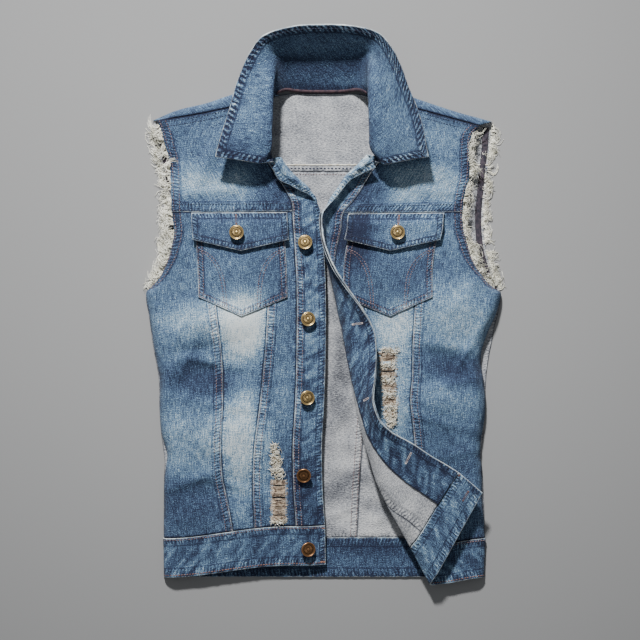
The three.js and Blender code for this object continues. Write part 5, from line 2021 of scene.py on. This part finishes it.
class VEST_OT_fringe(VestOperator, bpy.types.Operator):
    """Makes the frayed yarn round the armholes"""

    bl_idname = "vest.fringe"
    bl_label = "Frayed armholes"

    def make(self, context):
        for n, front in enumerate(FRONTS):
            rng = np.random.default_rng(300 + n)
            rows = [
                ("front", fringe_paths(*armhole_edge(front), 9, 8, 21, 310 + n, 3.4, floor=3.2)),
                ("back", fringe_paths(*back_edge(front, EDGE_INSET), 6, 8, 17, 320 + n, 1.6)),
            ]
            for layer, paths in rows:
                thick = rng.uniform(0.4, 0.75, len(paths))
                thing = tube_mesh(f"yarn_{layer}_{front.name}", paths, thick, [FINISH["fringe"]])
                settle(thing, f"fringe_{layer}_{front.name}")


class VEST_OT_rips(VestOperator, bpy.types.Operator):
    """Makes the bare threads across the worn-through places"""

    bl_idname = "vest.rips"
    bl_label = "Rip threads"

    def make(self, context):
        for n, front in enumerate(FRONTS):
            paths, thick = weft_paths(front, RIPS[front.name], 400 + n)
            thing = tube_mesh(f"rip_threads_{front.name}", paths, thick, [FINISH["weft"]], tip=0.7)
            settle(thing)
            paths, thick = tuft_paths(front, TUFTS[front.name], 410 + n)
            thing = tube_mesh(f"rip_tufts_{front.name}", paths, thick, [FINISH["cream"]], tip=0.5)
            settle(thing)


SEWN_ROWS = [
    # piece, edge, distances of its rows, thread
    ("front_centre", "far", (1.8, 8.6), "brown"),
    ("front_side", "near", (1.8, 8.6), "brown"),
    ("front_yoke", "low", (2.4, 10.0), "navy"),
    ("front_yoke", "far", (4.0, 11.5), "brown"),
    ("front_yoke", "high", (3.0, 9.0), "navy"),
    ("placket", "near", (2.6,), "navy"),
    ("placket", "far", (2.0, 7.6), "brown"),
    ("waistband", "low", (3.0,), "rust"),
    ("waistband", "high", (2.6,), "brown"),
    ("waistband", "near", (2.8,), "navy"),
    ("pocket", "near", (2.0, 7.4), "brown"),
    ("pocket", "far", (2.0, 7.4), "brown"),
    ("pocket", "low", (2.0, 7.4), "brown"),
    ("flap", "near", (2.0, 7.2), "navy"),
    ("flap", "far", (2.0, 7.2), "navy"),
    ("flap", "low", (2.0, 7.2), "navy"),
]

# The curved rows on each pocket, as places across and up it, and their distance apart.
POCKET_CURVE = [(0.03, 0.7), (0.13, 0.66), (0.22, 0.57), (0.29, 0.42), (0.32, 0.22), (0.33, 0.02)]
POCKET_CURVE_APART = 0.048


def pocket_curves(piece):
    found = []
    keys = np.linspace(0, 1, len(POCKET_CURVE))
    for side in (0, 1):
        for apart in (0, POCKET_CURVE_APART):
            s, t = curve(keys, POCKET_CURVE, np.linspace(0, 1, 60)).T
            s, t = s - apart * t ** 0.2, t - apart * (0.33 - s)
            found.append(piece.at(np.abs(side - np.maximum(s, 0.02)), np.clip(t, 0.02, 1)))
    return found


def across(points, normals, low, high, apart=0.55):
    """Stitches side by side across a line, from `low` to `high` beside it."""
    places = np.arange(0, length_of(points), apart)
    middle, up = resample(points, normals, places)
    along = np.gradient(middle, axis=0)
    side = unit(np.cross(up, along))
    return middle + side * low, middle + side * high, up


def joined(stitches):
    return [np.concatenate(part) for part in zip(*stitches)]


def buttonhole(piece, s_from, t_from, s_to, t_to):
    """The worked edges of a buttonhole between two places on a piece."""
    f = np.linspace(0, 1, 24)
    line = piece.at(lerp(s_from, s_to, f), lerp(t_from, t_to, f))
    ends = [[part[:3] for part in line], [part[-3:] for part in line]]
    bars = [across(*end, -1.2, 1.2, 0.5) for end in ends]
    return joined([across(*line, 0.4, 1.3, 0.8), across(*line, -1.3, -0.4, 0.8), *bars])


# Piece, the two ends of each buttonhole on it, and its thread.
BUTTONHOLES = [
    ("flap_right", (0.53, 0.7), (0.53, 0.95), "rust"),
    ("flap_left", (0.53, 0.7), (0.53, 0.95), "rust"),
    ("facing_left", (0.26, 0.66), (0.66, 0.655), "pale"),
    ("facing_left", (0.24, 0.425), (0.6, 0.42), "pale"),
    ("facing_left", (0.24, 0.145), (0.6, 0.14), "pale"),
    ("facing_left", (0.26, 0.9), (0.6, 0.9), "rust"),
    ("waistband_left.inside", (0.05, 0.43), (0.12, 0.43), "rust"),
]
# Piece and the two ends of each bartack on it.
BARTACKS = [
    ("placket_right", (0.05, 0.985), (0.3, 0.985)),
    ("waistband_right", (0.004, 0.08), (0.035, 0.08)),
    ("waistband_right", (0.004, 0.93), (0.02, 0.93)),
    ("waistband_left.inside", (0.004, 0.93), (0.02, 0.93)),
]


class VEST_OT_buttonholes(VestOperator, bpy.types.Operator):
    """Makes the worked buttonholes and the bartacks"""

    bl_idname = "vest.buttonholes"
    bl_label = "Buttonholes and bartacks"

    def make(self, context):
        MADE["waistband_left.inside"] = inside_of(MADE["waistband_left"], depth=BAND_CLOTH)
        sewn = {}
        for node, start, end, thread in BUTTONHOLES:
            sewn.setdefault(thread, []).append(buttonhole(MADE[node], *start, *end))
        f = np.linspace(0, 1, 12)
        for node, start, end in BARTACKS:
            line = MADE[node].at(lerp(start[0], end[0], f), lerp(start[1], end[1], f))
            sewn["rust"].append(across(*line, -1.0, 1.0, 0.45))
        for thread, stitches in sewn.items():
            thing = stitch_mesh(f"buttonholes_{thread}", joined(stitches), 0.7, [FINISH[thread]])
            settle(thing)


def ribbon_mesh(name, points, normals, wide, thick, materials):
    """A closed flat ribbon along a line of points and normals."""
    along = np.gradient(points, axis=0)
    side = unit(np.cross(along, normals))
    section = [(-0.5, 0), (-0.4, 0.5), (0.4, 0.5), (0.5, 0), (0.4, -0.5), (-0.4, -0.5)]
    rings = np.stack([points + side * a * wide + normals * b * thick for a, b in section], 1)
    corners, count = len(section), len(points)
    faces = []
    for low in range(0, (count - 1) * corners, corners):
        for c in range(corners):
            d = (c + 1) % corners
            faces.append((low + c, low + corners + c, low + corners + d, low + d))
    last = (count - 1) * corners
    faces += [(0, 1, 2, 3), (0, 3, 4, 5)]
    faces += [(last + 3, last + 2, last + 1, last), (last + 5, last + 4, last + 3, last)]
    return to_mesh(name, rings.reshape(-1, 3), faces, materials)


class VEST_OT_tapes(VestOperator, bpy.types.Operator):
    """Makes the tapes inside the back, over the neck seam and round the armholes"""

    bl_idname = "vest.tapes"
    bl_label = "Tapes"

    def make(self, context):
        for front in FRONTS:
            points = back_edge(front, ARMHOLE_HEM / 2 + 1)[0]
            points[:, 2] += CLOTH
            upward = np.zeros(points.shape) + [0, 0, 1]
            name = f"armhole_tape_{front.name}"
            thing = ribbon_mesh(name, points, upward, ARMHOLE_HEM - 5, 0.8, [FINISH["hem"]])
            settle(thing)
        points, normals = MADE["collar"].line("low", 2.6, start=0.27, end=0.73)
        thing = ribbon_mesh("neck_tape", points + normals * 0.2, normals, 4.2, 1.0, [FINISH["tape"]])
        settle(thing)


def sew_rows(name, lines, thread, seed, width=None, **options):
    """Makes the stitches along some lines, in one thread."""
    sewn = stitches_along(lines, seed=seed, **options)
    settle(stitch_mesh(name, sewn, width or settings()[0].thread, [FINISH[thread]]))


class VEST_OT_stitching(VestOperator, bpy.types.Operator):
    """Makes the rows of topstitching"""

    bl_idname = "vest.stitching"
    bl_label = "Topstitching"

    def make(self, context):
        for front in FRONTS:
            by_thread = {}
            for kind, edge, rows, thread in SEWN_ROWS:
                piece = MADE[f"{kind}_{front.name}"]
                lines = [piece.line(edge, off) for off in rows]
                by_thread.setdefault(thread, []).extend(lines)
            side = MADE[f"front_side_{front.name}"]
            armhole = (UNDERARM + 4 - BODY[0]) / (BODY[1] - BODY[0])
            by_thread["brown"] += [side.line("far", off, start=armhole) for off in (4.0, 11.5)]
            by_thread["brown"] += pocket_curves(MADE[f"pocket_{front.name}"])
            for thread, lines in by_thread.items():
                sew_rows(f"stitching_{thread}_{front.name}", lines, thread, 500)
        neck = MADE["collar"]
        lines = [neck.line("high", 6.0), neck.line("near", 6.0, end=0.96), neck.line("far", 6.0, end=0.96)]
        sew_rows("stitching_collar", lines, "navy", 501)
        centre = MADE["back_centre.inside"]
        lines = [centre.line(edge, off) for edge in ("near", "far") for off in (1.8, 8.6)]
        lines.append(centre.line("high", 4.0))
        sew_rows("stitching_back", lines, "brown", 502)
        yoke = MADE["back_yoke.inside"]
        lines = [yoke.line("low", 3.6)]
        sew_rows("stitching_yoke_inside", lines, "navy", 503, width=1.7, long=3.4, gap=1.4)
        points, normals = yoke.line("low", 8.4)
        thing = ribbon_mesh("yoke_seam_edge", points, normals, 1.5, 1.0, [FINISH["cream"]])
        settle(thing)


# The stage, in metres: its light, and the camera with what it takes in at the level of the cloth.
FLOOR_HALF = 6.0
SKY = (0.93, 0.96, 1, 1)
SKY_STRENGTH = 0.23
LAMP_FROM = (-0.17, 0.8, 0.58)
LAMP_AWAY = 3
LAMP_ACROSS = 0.3
LAMP_WATTS = 185
VIEW_FROM = (-0.00665, -0.01745, 2.6)
VIEW_LEVEL = 0.02
VIEW_ACROSS = 0.832
SENSOR = 36


class VEST_OT_stage(VestOperator, bpy.types.Operator):
    """Makes the floor, the lights and the camera above the vest"""

    bl_idname = "vest.stage"
    bl_label = "Floor, light and camera"

    def make(self, context):
        floor = bpy.data.meshes.new("floor")
        half = FLOOR_HALF
        corners = [(-half, -half, 0), (half, -half, 0), (half, half, 0), (-half, half, 0)]
        floor.from_pydata(corners, [], [(0, 1, 2, 3)])
        thing = bpy.data.objects.new("floor", floor)
        floor.materials.append(floor_material())
        context.scene.collection.objects.link(thing)
        world = bpy.data.worlds.new("studio")
        world.use_nodes = True
        background = world.node_tree.nodes["Background"]
        background.inputs["Color"].default_value = SKY
        background.inputs["Strength"].default_value = SKY_STRENGTH
        context.scene.world = world
        key = bpy.data.lights.new("key", "AREA")
        key.shape = "DISK"
        key.size = LAMP_ACROSS
        key.energy = LAMP_WATTS
        lamp = bpy.data.objects.new("key", key)
        towards = Vector(LAMP_FROM).normalized()
        lamp.location = towards * LAMP_AWAY
        lamp.rotation_mode = "QUATERNION"
        lamp.rotation_quaternion = towards.to_track_quat("Z", "Y")
        context.scene.collection.objects.link(lamp)
        camera = bpy.data.cameras.new("camera")
        camera.sensor_width = SENSOR
        camera.lens = SENSOR * (VIEW_FROM[2] - VIEW_LEVEL) / VIEW_ACROSS
        view = bpy.data.objects.new("camera", camera)
        view.location = VIEW_FROM
        context.scene.collection.objects.link(view)
        context.scene.camera = view


def floor_material():
    """A plain pale grey floor with a painted pool of light: it is a little darker far from the vest."""
    material, tree, shader = new_material("floor")
    place = put(tree, "ShaderNodeTexCoord").outputs["Object"]
    far = put(tree, "ShaderNodeVectorMath", {0: place}, operation="LENGTH").outputs["Value"]
    grey = ramp(tree, far, [(0.0, (0.36, 0.36, 0.36)), (0.8, (0.22, 0.22, 0.22))])
    set_inputs(tree, shader, {"Base Color": grey, "Roughness": 0.7})
    return material


OPERATORS = (
    VEST_OT_finishes,
    VEST_OT_back,
    VEST_OT_front_panels,
    VEST_OT_front_bands,
    VEST_OT_pockets,
    VEST_OT_collar,
    VEST_OT_buttons,
    VEST_OT_fringe,
    VEST_OT_rips,
    VEST_OT_stitching,
    VEST_OT_buttonholes,
    VEST_OT_tapes,
    VEST_OT_stage,
)


class VEST_PT_panel(bpy.types.Panel):
    """Lists the vest's sizes, colours and operators"""

    bl_label = "Denim vest"
    bl_idname = "VEST_PT_panel"
    bl_space_type = "VIEW_3D"
    bl_region_type = "UI"
    bl_category = "Vest"

    def draw(self, context):
        for holder in settings():
            for key in holder.__annotations__:
                self.layout.prop(holder, key)
        for operator in OPERATORS:
            self.layout.operator(operator.bl_idname)


CLASSES = (VestSizes, VestColours, *OPERATORS, VEST_PT_panel)


def register():
    for kind in CLASSES:
        bpy.utils.register_class(kind)
    bpy.types.Scene.vest_sizes = bpy.props.PointerProperty(type=VestSizes)
    bpy.types.Scene.vest_colours = bpy.props.PointerProperty(type=VestColours)


def unregister():
    del bpy.types.Scene.vest_colours
    del bpy.types.Scene.vest_sizes
    for kind in reversed(CLASSES):
        bpy.utils.unregister_class(kind)


def main():
    register()
    bpy.ops.vest.finishes()
    bpy.ops.vest.back()
    bpy.ops.vest.front_panels()
    bpy.ops.vest.front_bands()
    bpy.ops.vest.pockets()
    bpy.ops.vest.collar()
    bpy.ops.vest.buttons()
    bpy.ops.vest.fringe()
    bpy.ops.vest.rips()
    bpy.ops.vest.stitching()
    bpy.ops.vest.buttonholes()
    bpy.ops.vest.tapes()
    bpy.ops.vest.stage()


if __name__ == "__main__":
    main()
